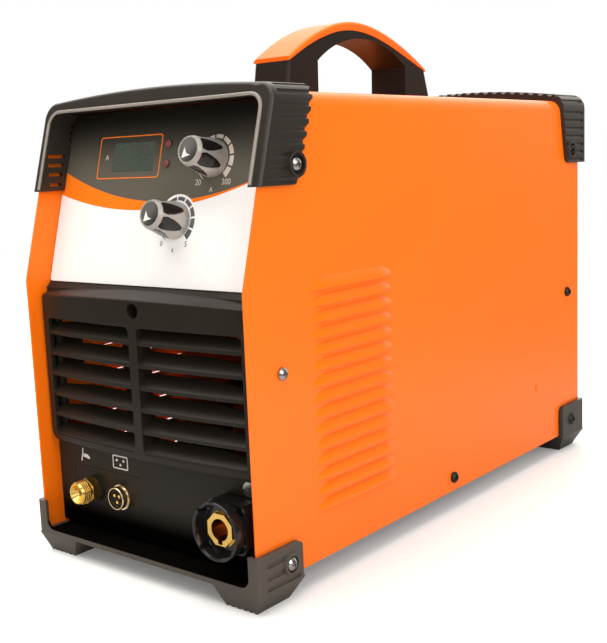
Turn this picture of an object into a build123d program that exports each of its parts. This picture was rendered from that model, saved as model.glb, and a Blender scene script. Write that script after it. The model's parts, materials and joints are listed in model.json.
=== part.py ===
from build123d import *
import math
import os

os.makedirs("parts", exist_ok=True)

# Portable TIG welding machine. Millimetres.
# Frame: X is the width, Y the depth with the front at -Y, Z up from the ground under the feet.

# ------------------------------------------------------------------ driving dimensions
CASE_WIDTH = 191.4
CASE_TOP = 292.0
CASE_FRONT = -210.0
CASE_REAR = 210.0
CASE_CORNER_R = 9.5
SKIRT = 14.7              # lower edge of the cover above the ground
SHEET = 1.2               # sheet steel
NOSE_Z = 183.0            # above this height the front leans back
COVER_LEAN = 0.28         # set-back per unit of height above the nose
GAP = 0.2                 # assembly gap between neighbouring pieces

LOUVRE_COUNT = 15
LOUVRE_PITCH = 9.5
LOUVRE_TOP_Z = 178.0
LOUVRE_Y = (-154.0, -70.0)
LOUVRE_REACH = 2.6
LOUVRE_R = 10.7           # radius of the pressed hood
LOUVRE_CAP = 14.0         # length of each tapering end
LOUVRE_END_R = 37.7       # radius of the tapering ends, seen from above

PANEL_Y = -195.0          # outside of the vertical part of the front panel
PANEL_T = 2.6
CONTROL_LEAN = 0.268      # lean of the control panel
CONTROL_Y = -191.5        # outside of the control overlay at the nose height
OVERLAY_T = 0.5

KNOB_H = 22.3
KNOB_BASE_R = 11.3
KNOB_FACE_R = 8.9
SHAFT_R = 3.0
RUN = 0.05                # radial clearance of a running fit

VISOR_SKIN = 3.5          # thickness of the visors outside the cover
BUMPER_FRONT = -212.6
BUMPER_REAR = 213.6

HALF = CASE_WIDTH / 2
INNER = HALF - SHEET
SKIN_X = HALF + VISOR_SKIN
PANEL_HALF = INNER - GAP

# places on the control panel: (x, z)
CURRENT_KNOB = (43.5, 255.7)
DELAY_KNOB = (18.4, 220.1)
DISPLAY = (-27.6, 259.4)
DISPLAY_SIZE = (38.0, 18.6)
LEDS = ((3.6, 266.0), (3.7, 254.0))

# places on the connector panel: (x, z)
TORCH_OUTLET = (-58.5, 45.1)
CONTROL_SOCKET = (-31.5, 44.0)
OUTPUT_SOCKET = (72.5, 48.0)
EARTH_SCREW = (80.6, 68.2)
SOCKET_BLOCK_Y = -209.0    # front of the output socket's square block
OUTLET_FRONT_Y = -211.5
OUTLET_SEAT_Y = -198.4     # back of the torch outlet's hexagon
SOCKET_PLATE = (-79.0, -13.0, 24.0, 59.0)

# screws through the side of the cover: (y, z)
FRONT_SCREW = (-181.6, 134.4)
VISOR_SCREW = (-165.2, 250.9)
BUMPER_SCREW = (-184.2, 23.5)
BASE_SCREW = (1.5, 24.7)
REAR_SCREW = (188.0, 135.4)
REAR_VISOR_SCREW = (190.0, 252.5)
REAR_BUMPER_SCREW = (190.0, 26.0)
RIVET = (133.0, 63.7)      # painted rivet that carries the internal bracket

REAR_PANEL_Y = 204.0      # inside face of the rear panel
REAR_REACH = 219.2        # rearmost point, level with the front reach of the output socket
CABLE_R = 5.6             # cable bore of the gland
FAN_CENTRE = (0.0, 118.0)
FAN_SIZE = 120.0
FAN_DEPTH = 25.0
SWITCH_AT = (-42.0, 226.0)
GLAND_AT = (48.0, 226.0)
GAS_IN_AT = (-76.0, 38.0)

TRAY_Z = 16.2
SHELF_Z = 176.0


# ------------------------------------------------------------------ shape helpers
def block(x0, x1, y0, y1, z0, z1):
    return Pos((x0 + x1) / 2, (y0 + y1) / 2, (z0 + z1) / 2) * Box(x1 - x0, y1 - y0, z1 - z0)


def prism_x(points, x0, x1):
    """Closed outline of (y, z) points extruded along X."""
    return extrude(Plane.YZ.offset(x0) * Polygon(*points, align=None), amount=x1 - x0, dir=(1, 0, 0))


def prism_y(points, y0, y1):
    """Closed outline of (x, z) points extruded along Y."""
    return extrude(Plane.XZ.offset(-y1) * Polygon(*points, align=None), amount=y1 - y0, dir=(0, -1, 0))


def rod_x(y, z, r, x0, x1):
    return Pos((x0 + x1) / 2, y, z) * Rot(0, 90, 0) * Cylinder(r, x1 - x0)


def rod_y(x, z, r, y0, y1):
    return Pos(x, (y0 + y1) / 2, z) * Rot(90, 0, 0) * Cylinder(r, y1 - y0)


def rod_z(x, y, r, z0, z1):
    return Pos(x, y, (z0 + z1) / 2) * Cylinder(r, z1 - z0)


def hex_y(x, z, flats, y0, y1, turn=0):
    """Hexagonal bar along Y."""
    face = RegularPolygon(flats / math.sqrt(3), 6, rotation=turn)
    return extrude(Plane.XZ.offset(-y1) * (Pos(x, z) * face), amount=y1 - y0, dir=(0, -1, 0))


def turned_y(profile, x, z):
    """Turned piece about a line along Y. The profile is (radius, y) points."""
    face = Plane.XY * Polygon(*profile, align=None)
    return Pos(x, 0, z) * revolve(face, Axis.Y)


def both_sides(shape):
    return [shape, mirror(shape, about=Plane.YZ)]


def joined(first, others):
    for other in others:
        first = first + other
    return first


def cover_front(z):
    """Y of the cover's front edge at height z."""
    return CASE_FRONT + COVER_LEAN * max(0.0, z - NOSE_Z)


def control_y(z, behind=0.0):
    """Y of the control plane at height z, or of a plane behind it."""
    return CONTROL_Y + behind + CONTROL_LEAN * (z - NOSE_Z)


def on_control(x, z, behind=0.0):
    """Plane on the control panel: local X is X, local Y runs up the panel, local Z points out."""
    lean = math.atan(CONTROL_LEAN)
    out = (0, -math.cos(lean), math.sin(lean))
    origin = (x, control_y(z, behind / math.cos(lean)), z)
    return Plane(origin=origin, x_dir=(1, 0, 0), z_dir=out)


def envelope(grow, low=-60.0):
    """Section of the cover's outside, grown outwards by grow, as a face in X and Z."""
    top = CASE_TOP + grow
    face = RectangleRounded(2 * (HALF + grow), top - low, CASE_CORNER_R + grow)
    return Pos(0, (top + low) / 2) * face


def envelope_solid(grow, y0, y1):
    return extrude(Plane.XZ.offset(-y1) * envelope(grow), amount=y1 - y0, dir=(0, -1, 0))


def save(name, shape):
    shape.label = name
    export_step(shape, f"parts/{name}.step")


# ------------------------------------------------------------------ sheet metal case
def louvre_form(skin):
    """Long form with tapering ends whose outer part is one pressed louvre hood, on the +X side."""
    r = LOUVRE_R - skin
    end = LOUVRE_END_R - skin
    turn = math.radians(28)
    low = r - end * (1 - math.cos(turn))
    mid = r - end * (1 - math.cos(turn / 2))
    y0 = LOUVRE_Y[0] + LOUVRE_CAP
    y1 = LOUVRE_Y[1] - LOUVRE_CAP
    reach = end * math.sin(turn)
    half_reach = end * math.sin(turn / 2)
    near = ThreePointArc((low, y0 - reach), (mid, y0 - half_reach), (r, y0))
    far = ThreePointArc((r, y1), (mid, y1 + half_reach), (low, y1 + reach))
    crest = Line((r, y0), (r, y1))
    back = Polyline((low, y1 + reach), (0, y1 + reach), (0, y0 - reach), (low, y0 - reach))
    form = revolve(make_face(Curve() + [near, crest, far, back]), Axis.Y)
    return Pos(HALF + LOUVRE_REACH - LOUVRE_R, 0, 0) * form


def louvres():
    """Outer hoods to add and inner hollows to cut, on the +X side."""
    keep = block(HALF - SHEET / 2, HALF + 5, -170, -50, 0, 12)
    cut = block(HALF - SHEET - 1, HALF + 5, -170, -50, 0, 12)
    hood = louvre_form(0.0) & keep
    hollow = louvre_form(SHEET) & cut
    spots = [Pos(0, 0, LOUVRE_TOP_Z - LOUVRE_PITCH * i) for i in range(LOUVRE_COUNT)]
    return [spot * hood for spot in spots], [spot * hollow for spot in spots]


def side_holes(places, r):
    holes = []
    for y, z in places:
        holes += both_sides(rod_x(y, z, r, INNER - 4, SKIN_X + 3))
    return holes


HANDLE_SCREWS = [(x, y) for x in (-8.5, 8.5) for y in (-54.0, 87.0)]


def cover_shell():
    profile = [
        (CASE_FRONT, SKIRT),
        (CASE_REAR, SKIRT),
        (CASE_REAR, CASE_TOP + 5),
        (cover_front(CASE_TOP + 5), CASE_TOP + 5),
        (CASE_FRONT, NOSE_Z),
    ]
    shell = envelope_solid(0, -230, 230) - envelope_solid(-SHEET, -231, 231)
    shell = shell & prism_x(profile, -HALF - 1, HALF + 1)
    hoods, hollows = louvres()
    for side in (1, -1):
        for hood in hoods:
            shell = shell + (hood if side > 0 else mirror(hood, about=Plane.YZ))
    cuts = hollows + [mirror(h, about=Plane.YZ) for h in hollows]
    shell = shell - cuts
    screws = [FRONT_SCREW, VISOR_SCREW, BUMPER_SCREW, BASE_SCREW, REAR_SCREW]
    screws += [REAR_VISOR_SCREW, REAR_BUMPER_SCREW]
    shell = shell - side_holes(screws, 2.2)
    for side in (HALF - 0.5, -HALF + 0.5):
        shell = shell + rod_x(*RIVET, 3.0, side - 1.2, side + 1.2)
    handle_holes = [rod_z(x, y, 2.8, CASE_TOP - 5, CASE_TOP + 2) for x, y in HANDLE_SCREWS]
    return shell - handle_holes


def base_tray():
    half = PANEL_HALF
    floor = block(-half, half, -190, REAR_PANEL_Y - GAP, TRAY_Z, TRAY_Z + SHEET)
    sides = [
        block(half - SHEET, half, -190, REAR_PANEL_Y - GAP, TRAY_Z, TRAY_Z + 22),
        block(-half, SHEET - half, -190, REAR_PANEL_Y - GAP, TRAY_Z, TRAY_Z + 22),
    ]
    tray = joined(floor, sides)
    slots = []
    for row in range(9):
        y = -120 + 28 * row
        slot = extrude(Plane.XY.offset(TRAY_Z - 1) * SlotOverall(46, 5), amount=4, dir=(0, 0, 1))
        slots += [Pos(-58, y, 0) * slot, Pos(58, y, 0) * slot]
    tray = tray - slots
    return tray - side_holes([BUMPER_SCREW, BASE_SCREW, REAR_BUMPER_SCREW], 2.05)


def front_panel():
    """Moulded inner front: an upright connector part, the grille window and the leaning control part."""
    step = OVERLAY_T + 0.15
    low_z = TRAY_Z + SHEET + GAP
    knee = 177.0
    foot = 180.4
    top = 288.4
    outline = [
        (PANEL_Y, low_z),
        (PANEL_Y, knee),
        (control_y(foot, step), foot),
        (control_y(top, step), top),
        (control_y(top, step + PANEL_T), top),
        (control_y(foot, step + PANEL_T), foot),
        (PANEL_Y + PANEL_T, knee),
        (PANEL_Y + PANEL_T, low_z),
    ]
    half = PANEL_HALF
    panel = prism_x(outline, -half, half)
    ears = []
    for x0, x1 in ((half - 4.2, half), (-half, 4.2 - half)):
        ears.append(block(x0, x1, PANEL_Y + PANEL_T - 1, -172, 120, 150))
        ear = [(control_y(240, 2), 240), (control_y(262, 2), 262), (-158, 262), (-158, 240)]
        ears.append(prism_x(ear, x0, x1))
    panel = joined(panel, ears + board_bosses()) & envelope_solid(-SHEET - GAP, -230, 230)
    panel = panel - block(-84, 84, PANEL_Y - 1, PANEL_Y + PANEL_T + 1, 82, 160)
    x0, x1, z0, z1 = SOCKET_PLATE
    panel = panel - block(x0, x1, PANEL_Y - 1, PANEL_Y + PANEL_T + 1, z0, z1)
    panel = panel - rod_y(*OUTPUT_SOCKET, 14.4, PANEL_Y - 1, PANEL_Y + PANEL_T + 1)
    for place in (CURRENT_KNOB, DELAY_KNOB):
        panel = panel - on_control(*place, 0).location * Cylinder(3.7, 12)
    window = on_control(*DISPLAY, 0).location * Box(DISPLAY_SIZE[0] + 0.4, DISPLAY_SIZE[1] + 0.4, 12)
    panel = panel - window
    for place in LEDS:
        panel = panel - on_control(*place, 0).location * Cylinder(1.7, 12)
    panel = panel - side_holes([FRONT_SCREW, VISOR_SCREW], 2.05)
    holes = [rod_y(x, z, 1.5, PANEL_Y - 1, PANEL_Y + PANEL_T + 1) for x, z in flange_screw_spots()]
    holes.append(rod_y(*EARTH_SCREW, 2.1, PANEL_Y - 1, PANEL_Y + PANEL_T + 1))
    return panel - holes


def socket_plate():
    """Plate that carries the two small connectors, with a raised seat for the torch outlet."""
    x0, x1, z0, z1 = SOCKET_PLATE
    plate = block(x0 + 0.25, x1 - 0.25, PANEL_Y + 0.2, PANEL_Y + PANEL_T, z0 + 0.25, z1 - 0.25)
    plate = plate + rod_y(*TORCH_OUTLET, 8.6, OUTLET_SEAT_Y + 0.1, PANEL_Y + 1)
    plate = plate - rod_y(*TORCH_OUTLET, 6.2, OUTLET_SEAT_Y - 1, PANEL_Y + 5)
    return plate - rod_y(*CONTROL_SOCKET, 7.6, PANEL_Y - 1, PANEL_Y + 5)


def control_overlay():
    low = 181.0
    high = 287.6
    lean = math.atan(CONTROL_LEAN)
    length = (high - low) / math.cos(lean)
    mid = on_control(0, (low + high) / 2, OVERLAY_T)
    face = RectangleRounded(187.6, length, 2.0)
    sheet = extrude(mid * face, amount=OVERLAY_T, dir=mid.z_dir) & envelope_solid(-SHEET - 0.5, -230, 230)
    for place in (CURRENT_KNOB, DELAY_KNOB):
        sheet = sheet - on_control(*place, 0).location * Cylinder(4.2, 6)
    window = on_control(*DISPLAY, 0).location * Box(DISPLAY_SIZE[0], DISPLAY_SIZE[1], 6)
    sheet = sheet - window
    for place in LEDS:
        sheet = sheet - on_control(*place, 0).location * Cylinder(2.3, 6)
    return sheet


# ------------------------------------------------------------------ front grille
GRILLE_Z = (76.0, 180.2)
GRILLE_BULGE = 5.6
GRILLE_EDGE_Y = -201.0
BLADE_EDGES = (148.3, 134.5, 120.8, 107.1, 93.5, 80.2)   # heights of the leading edges
BLADE_RISE = 0.8          # slope of the blades, up towards the back
ROOF_CROWN = 3.9          # drop of the roof from the middle to its ends
ROOF_SLOPE = 0.387
ROOF_FRONT = 174.4        # height of the roof's leading edge at the middle
GRILLE_HALF = 92.4
GRILLE_ARC_R = (GRILLE_HALF ** 2 + GRILLE_BULGE ** 2) / (2 * GRILLE_BULGE)
GRILLE_FRONT_Y = GRILLE_EDGE_Y - GRILLE_BULGE
RIB_HALF = 3.5


def bulge_solid(y_shift, z0, z1, half):
    """Upright solid from the panel face out to a shallow arc across the width."""
    edge = GRILLE_EDGE_Y + y_shift
    arc = ThreePointArc((-half, edge), (0, edge - GRILLE_BULGE), (half, edge))
    sides = Polyline((half, edge), (half, PANEL_Y - GAP), (-half, PANEL_Y - GAP), (-half, edge))
    return extrude(Plane.XY.offset(z0) * make_face(Curve() + [arc, sides]), amount=z1 - z0, dir=(0, 0, 1))


def grille_blade(z):
    """One sloping blade whose edge follows the arc of the grille, at height z."""
    axis_y = GRILLE_FRONT_Y + GRILLE_ARC_R
    near = 0.6 - GRILLE_ARC_R
    far = 9.5 - GRILLE_ARC_R
    rise = BLADE_RISE * 8.9
    outline = [(near, z - 1.2), (near, z + 1.0), (far, z + 1.0 + rise), (far, z - 1.2 + rise)]
    face = Rot(0, 0, -8) * (Plane.YZ * Polygon(*outline, align=None))
    return Pos(0, axis_y, 0) * revolve(face, Axis.Z, revolution_arc=16)


def grille_roof():
    """Everything above the sloping, crowned roof of the grille."""
    half = 110
    drop = ROOF_CROWN * (half / GRILLE_HALF) ** 2
    crown = ThreePointArc((-half, ROOF_FRONT - drop), (0, ROOF_FRONT), (half, ROOF_FRONT - drop))
    rest = Polyline((half, ROOF_FRONT - drop), (half, 240), (-half, 240), (-half, ROOF_FRONT - drop))
    face = Plane.XZ.offset(-GRILLE_FRONT_Y) * make_face(Curve() + [crown, rest])
    length = math.hypot(1.0, ROOF_SLOPE)
    back = (0, 1 / length, ROOF_SLOPE / length)
    return extrude(Pos(0, -6, -6 * ROOF_SLOPE) * face, amount=40, dir=back)


def front_grille():
    half = GRILLE_HALF
    outer = bulge_solid(0, *GRILLE_Z, half) - grille_roof()
    crease = [e for e in outer.edges() if is_crease(e)]
    outer = fillet(crease, 1.8)
    corners = Pos(0, GRILLE_Z[0] + 75) * RectangleRounded(2 * half - 0.4, 150, 6.5)
    outer = outer & extrude(Plane.XZ.offset(100) * corners, amount=200, dir=(0, -1, 0))
    hollow = bulge_solid(3.0, GRILLE_Z[0] + 3, 167.0, half - 3)
    windows = [block(-86.5, -RIB_HALF, -230, PANEL_Y + 1, 79.7, 157.9)]
    windows.append(block(RIB_HALF, 84.6, -230, PANEL_Y + 1, 79.7, 157.9))
    windows = [fillet(w.edges().filter_by(Axis.Y), 3.2) for w in windows]
    frame = outer - hollow - windows
    span = block(1.5 - half, half - 1.5, -230, PANEL_Y - GAP, GRILLE_Z[0], 168)
    blades = [grille_blade(z) & span for z in BLADE_EDGES]
    rib = block(-RIB_HALF, RIB_HALF, -230, PANEL_Y - GAP, GRILLE_Z[0], 167.0) & outer
    frame = joined(frame, [rib] + blades)
    return frame - rod_y(1.5, 167.9, 4.9, -230, PANEL_Y + 1)


def is_crease(edge):
    """True for the edge between the grille's face and its roof."""
    mid = edge @ 0.5
    return edge.length > 150 and 170 < mid.Z < 176 and mid.Y < GRILLE_EDGE_Y


# ------------------------------------------------------------------ visors and bumpers
RIB_PITCH = 7.0


def crown_section(half, low, crown, shoulder, corner):
    """Closed outline in X and Z: upright sides, round corners and a crowned top."""
    flat = half - corner
    arc = ThreePointArc((-flat, shoulder), (0, crown), (flat, shoulder))
    right = ThreePointArc(
        (flat, shoulder),
        (flat + corner * 0.72, shoulder - corner * 0.29),
        (half, shoulder - corner),
    )
    left = ThreePointArc(
        (-half, shoulder - corner),
        (-flat - corner * 0.72, shoulder - corner * 0.29),
        (-flat, shoulder),
    )
    rest = Polyline((half, shoulder - corner), (half, low), (-half, low), (-half, shoulder - corner))
    return make_face(Curve() + [arc, right, rest, left])


def crown_solid(half, low, crown, shoulder, corner, y0, y1):
    section = crown_section(half, low, crown, shoulder, corner)
    return extrude(Plane.XZ.offset(-y1) * section, amount=y1 - y0, dir=(0, -1, 0))


def crown_point(half, crown, shoulder, corner, x):
    """Height of the crowned top at x."""
    flat = half - corner
    sag = crown - shoulder
    r = (flat ** 2 + sag ** 2) / (2 * sag)
    return crown - r + math.sqrt(r ** 2 - x ** 2)


def grip_grooves(shape, y0, y1, side, top):
    """Long grooves along Y over the sides and the top, which leave ribs between them.

    side and top are each (pitch, groove radius, depth).
    """
    half, low, crown, shoulder, corner = shape
    pitch, r, depth = side
    grooves = []
    count = int((shoulder - corner - low) / pitch) + 1
    for i in range(count):
        z = low + pitch * (i + 0.35)
        grooves += both_sides(rod_y(half + r - depth, z, r, y0, y1))
    for angle in (30, 62):
        a = math.radians(angle)
        x = half - corner + (corner + r - depth) * math.cos(a)
        z = shoulder - corner + (corner + r - depth) * math.sin(a)
        grooves += both_sides(rod_y(x, z, r, y0, y1))
    pitch, r, depth = top
    x = half - corner
    while x > 0:
        z = crown_point(half, crown, shoulder, corner, x) + r - depth
        grooves += both_sides(rod_y(x, z, r, y0, y1))
        x -= pitch
    return grooves


VISOR_LOW = 239.6
VISOR_CROWN = 300.0
VISOR_SHOULDER = 296.2
VISOR_CORNER = 11.0
COLLAR_RISE = 1.8         # how far the screw collars stand out of the ribs
RIM_HALF = 91.0
RIM_TOP = 289.0


def visor_front(z):
    """Y of the front visor's leading face at height z."""
    return -196.3 + 0.289 * (z - 240.2)


def visor_rear_edge(z):
    return -163.5 + 0.33 * (z - VISOR_LOW)


def visor_mouth(grow):
    """Opening of the front visor, grown outwards by grow, as a bar through its front."""
    height = RIM_TOP + grow - 100
    face = Pos(0, 100) * RectangleRounded(2 * (RIM_HALF + grow), 2 * height, 8.0 + grow)
    return extrude(Plane.XZ.offset(100) * face, amount=160, dir=(0, -1, 0))


def visor_block(shape):
    """Outside of the front visor before its details: crowned section and leaning ends."""
    side = [
        (visor_front(VISOR_LOW), VISOR_LOW),
        (visor_rear_edge(VISOR_LOW), VISOR_LOW),
        (visor_rear_edge(310), 310),
        (visor_front(310), 310),
    ]
    outline = Polygon(*side, align=None)
    rear = [v for v in outline.vertices() if abs(v.Y - VISOR_LOW) < 0.1 and v.X > -180]
    outline = fillet(rear, 6.5)
    side_solid = extrude(Plane.YZ.offset(-120) * outline, amount=240, dir=(1, 0, 0))
    solid = crown_solid(*shape, -215, -140) & side_solid
    rim = [e for e in solid.edges() if is_visor_rim(e)]
    return fillet(rim, 2.4)


def is_visor_rim(edge):
    """True for the outer edges of the visor's leading face."""
    mid = edge @ 0.5
    on_face = abs(mid.Y - visor_front(mid.Z)) < 0.05
    return on_face and mid.Z > VISOR_LOW + 0.5


def visor_slots():
    """Narrow slots through the visor's inner walls and small notches along their rear edge."""
    slots = []
    for z in (243.6, 250.2, 256.2, 262.0):
        rear = -179.0 + 0.28 * (z - 243.6)
        slots += both_sides(block(RIM_HALF - 1, INNER, -188.5, rear, z - 1.1, z + 1.1))
    for i in range(5):
        z = 268.4 + 4.3 * i
        rear = control_y(z, -0.6)
        slots += both_sides(block(RIM_HALF - 1, INNER, rear - 2.0, rear + 1.0, z - 1.1, z + 1.1))
    return slots


def front_visor():
    shape = (SKIN_X, VISOR_LOW, VISOR_CROWN, VISOR_SHOULDER, VISOR_CORNER)
    outer = visor_block(shape)
    behind = [(visor_front(230) + 4.5, 230), (visor_front(310) + 4.5, 310), (-100, 310), (-100, 230)]
    ribbed = prism_x(behind, -120, 120)
    grooves = grip_grooves(shape, -230, -130, (RIB_PITCH, 1.6, 1.0), (6.0, 1.5, 1.0))
    outer = outer - [g & ribbed for g in grooves]
    scallops = []
    for i in range(8):
        z = VISOR_LOW + RIB_PITCH * (i + 0.35)
        if i > 0:
            scallops += both_sides(rod_x(visor_rear_edge(z) + 1.3, z, 2.9, HALF, SKIN_X + 2))
    outer = outer - scallops
    slot = envelope_solid(0.15, -230, 230) - envelope_solid(-SHEET - 0.15, -230, 230)
    edge = [(cover_front(230) - 0.3, 230), (cover_front(310) - 0.3, 310), (-100, 310), (-100, 230)]
    outer = outer - (slot & prism_x(edge, -120, 120))
    inside = envelope_solid(-SHEET - 0.1, -230, 230)
    back = [(control_y(230, -0.6), 230), (control_y(310, -0.6), 310), (-100, 310), (-100, 230)]
    outer = outer - (inside & prism_x(back, -120, 120))
    mouth = visor_mouth(0)
    outer = outer - mouth
    strip = [(visor_front(VISOR_LOW) - 0.9, VISOR_LOW), (visor_front(310) - 0.9, 310)]
    strip += [(visor_front(310) + 0.5, 310), (visor_front(VISOR_LOW) + 0.5, VISOR_LOW)]
    outer = outer + ((visor_mouth(2.2) - mouth) & prism_x(strip, -120, 120))
    outer = outer - visor_slots()
    outer = joined(outer, screw_collar(*VISOR_SCREW, 7.3, SKIN_X + COLLAR_RISE))
    return outer - screw_pockets(VISOR_SCREW, SKIN_X - 0.9, 5.9)


def screw_collar(y, z, r, face):
    return both_sides(rod_x(y, z, r, HALF + 0.15, face))


def screw_pockets(place, floor, r):
    """Counterbore for a screw head and its clearance hole, on both sides."""
    y, z = place
    pockets = both_sides(rod_x(y, z, r, floor, SKIN_X + 5))
    return pockets + both_sides(rod_x(y, z, 2.2, HALF - 3, SKIN_X + 5))


REAR_LOW = 242.0
REAR_CROWN = 304.0
REAR_SHOULDER = 297.5
REAR_CORNER = 12.0


def rear_visor():
    shape = (SKIN_X, REAR_LOW, REAR_CROWN, REAR_SHOULDER, REAR_CORNER)
    side = Polygon((184.5, REAR_LOW), (216, REAR_LOW), (216, 310), (176.5, 310), (176.5, 285), align=None)
    corner = [v for v in side.vertices() if abs(v.Y - REAR_LOW) < 0.1 and v.X < 200]
    side = fillet(corner, 6.0)
    outer = crown_solid(*shape, 160, 216) & extrude(Plane.YZ.offset(-120) * side, amount=240, dir=(1, 0, 0))
    outer = outer - grip_grooves(shape, 150, 213, (6.3, 1.5, 0.9), (8.4, 3.0, 1.7))
    outer = outer - (envelope_solid(0.15, 100, CASE_REAR + 0.3))
    mouth = Pos(0, 100) * RectangleRounded(2 * (PANEL_HALF - 2), 2 * (CASE_TOP - 4 - 100), 7.0)
    outer = outer - extrude(Plane.XZ.offset(-230) * mouth, amount=60, dir=(0, -1, 0))
    outer = joined(outer, screw_collar(*REAR_VISOR_SCREW, 7.2, SKIN_X + 1.2))
    return outer - screw_pockets(REAR_VISOR_SCREW, SKIN_X - 1.2, 5.2)


BUMPER_TOP = 35.0
REAR_BUMPER_TOP = 39.5
FOOT_TOP = 12.7
FOOT_X = (69.0, 92.5)


def foot(side, y_front, y_rear, y_front_top, y_rear_top):
    """Tapered foot: wide under the bumper, narrower on the ground."""
    outer_top = SKIN_X
    inner_top = 62.0
    bottom = Plane.XY * Polygon(
        (FOOT_X[0], y_front), (FOOT_X[1], y_front), (FOOT_X[1], y_rear), (FOOT_X[0], y_rear), align=None
    )
    top = Plane.XY.offset(FOOT_TOP) * Polygon(
        (inner_top, y_front_top), (outer_top, y_front_top), (outer_top, y_rear_top),
        (inner_top, y_rear_top), align=None
    )
    solid = loft([bottom.face(), top.face()])
    return solid if side > 0 else mirror(solid, about=Plane.YZ)


def slab_y(half, start, reach, z0, z1):
    """Block across the width that runs from y = start to start + reach, in either direction."""
    return block(-half, half, min(start, start + reach), max(start, start + reach), z0, z1)


def bumper(front, inward, reach, top):
    """U-shaped corner guard with two feet. inward is +1 for the front bumper and -1 for the rear one."""
    body = slab_y(SKIN_X, front, inward * reach, FOOT_TOP - 0.01, top)
    body = fillet(body.edges().filter_by(Axis.Z), 2.2)
    lip = RectangleRounded(2 * RIM_HALF, 200, 6.5)
    plane = Plane.XZ.offset(-front - 60)
    body = body - extrude(plane * (Pos(0, 15.6 + 100) * lip), amount=120, dir=(0, -1, 0))
    body = body - slab_y(INNER - 0.1, front + inward * 2.4, inward * 90, 15.7, 60)
    sheet_room = envelope_solid(0.15, -250, 250) - envelope_solid(-SHEET - 0.15, -250, 250)
    beyond = CASE_FRONT - 0.2 if inward > 0 else CASE_REAR + 0.2
    return body - (sheet_room & slab_y(120, beyond, inward * 90, SKIRT - 0.3, 60))


def corner_cut(y_corner, z_corner, r, inward, top):
    """Rounds the upper inner corner of the bumper's side wings."""
    square = slab_y(120, y_corner, inward * r * 2, z_corner, top + 5)
    return square - rod_x(y_corner, z_corner, r, -121, 121)


def foot_teeth(y):
    """Small saw notches across the lower leading edge of both feet."""
    notches = []
    for i in range(5):
        x = FOOT_X[0] + 2.6 + 4.6 * i
        tooth = prism_y([(x - 1.5, -0.1), (x + 1.5, -0.1), (x, 1.5)], y - 3, y + 4)
        notches += both_sides(tooth)
    return notches


def grip_slot(y, z, length, width):
    """Pair of shallow slots along Y in the bumper's sides."""
    face = Pos(y, z) * SlotOverall(length, width)
    return both_sides(extrude(Plane.YZ.offset(SKIN_X - 1.0) * face, amount=3, dir=(1, 0, 0)))


def front_bumper():
    body = bumper(BUMPER_FRONT, 1, 40.4, BUMPER_TOP)
    body = body - corner_cut(-178.2, 29.0, 6.0, 1, BUMPER_TOP)
    feet = [foot(side, -208.4, -180.0, BUMPER_FRONT, -172.2) for side in (1, -1)]
    body = joined(body, feet)
    grooves = grip_slot(-197.6, 28.7, 17, 3.4) + grip_slot(-197.6, 21.5, 17, 3.4)
    grooves += grip_slot(-191.2, 14.9, 30, 3.0)
    body = body - grooves
    body = body - foot_teeth(-208.4)
    body = joined(body, screw_collar(*BUMPER_SCREW, 6.6, SKIN_X + 1.2))
    return body - screw_pockets(BUMPER_SCREW, SKIN_X - 0.9, 5.0)


def rear_bumper():
    body = bumper(BUMPER_REAR, -1, 42.0, REAR_BUMPER_TOP)
    body = body - corner_cut(177.0, REAR_BUMPER_TOP - 5.4, 5.4, -1, REAR_BUMPER_TOP)
    feet = [foot(side, 180.0, 205.0, 171.8, BUMPER_REAR) for side in (1, -1)]
    body = joined(body, feet)
    body = joined(body, screw_collar(*REAR_BUMPER_SCREW, 5.6, SKIN_X + 0.6))
    return body - screw_pockets(REAR_BUMPER_SCREW, SKIN_X - 0.9, 4.6)


# ------------------------------------------------------------------ handle
HANDLE_HALF = 16.0
HANDLE_BASE = CASE_TOP + 0.1


HANDLE_TOP = ((-66.2, 319.5), (-35.3, 334.4), (2.0, 343.3), (37.0, 339.8), (71.0, 329.3), (102.5, 318.2))
GRIP_CROWN = ((-66.2, 322.5), (-34.0, 340.0), (4.0, 349.8), (54.0, 342.6), (102.5, 321.2))
GRIP_GAP = 0.15


def handle_side(curve, closing):
    """Side outline in Y and Z: a curve and the straight lines that close it."""
    rest = Polyline(curve @ 1, *closing, curve @ 0)
    return make_face(Curve() + [curve, rest])


def handle_body():
    outline = handle_side(Spline(*HANDLE_TOP), [(111.0, HANDLE_BASE), (-71.0, HANDLE_BASE)])
    body = extrude(Plane.YZ.offset(-HANDLE_HALF) * outline, amount=2 * HANDLE_HALF, dir=(1, 0, 0))
    arch = ThreePointArc((-35.4, 320.7), (20.0, 338.6), (74.0, 320.6))
    opening = handle_side(arch, [(73.0, HANDLE_BASE - 1), (-36.2, HANDLE_BASE - 1)])
    through = extrude(Plane.YZ.offset(-HANDLE_HALF - 1) * opening, amount=2 * HANDLE_HALF + 2, dir=(1, 0, 0))
    body = body - through
    body = fillet([e for e in body.edges() if is_leg_corner(e)], 3.2)
    holes = [rod_z(x, y, 2.55, HANDLE_BASE - 1, HANDLE_BASE + 14) for x, y in HANDLE_SCREWS]
    return body - holes


def is_leg_corner(edge):
    """True for the four outer upright corners of the handle's legs."""
    start = edge.start_point()
    end = edge.end_point()
    rises = abs(start.Z - end.Z) > 15
    across = abs(start.X - end.X) < 0.1
    middle = (start.Y + end.Y) / 2
    return rises and across and (middle < -60 or middle > 95)


def handle_grip():
    low = Spline(*[(y, z + GRIP_GAP) for y, z in HANDLE_TOP])
    crown = Spline(*GRIP_CROWN)
    ends = [Line(low @ 0, crown @ 0), Line(low @ 1, crown @ 1)]
    half = HANDLE_HALF + 0.3
    section = make_face(Curve() + [low, crown] + ends)
    grip = extrude(Plane.YZ.offset(-half) * section, amount=2 * half, dir=(1, 0, 0))
    return fillet([e for e in grip.edges() if is_over(e)], 2.6)


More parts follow.
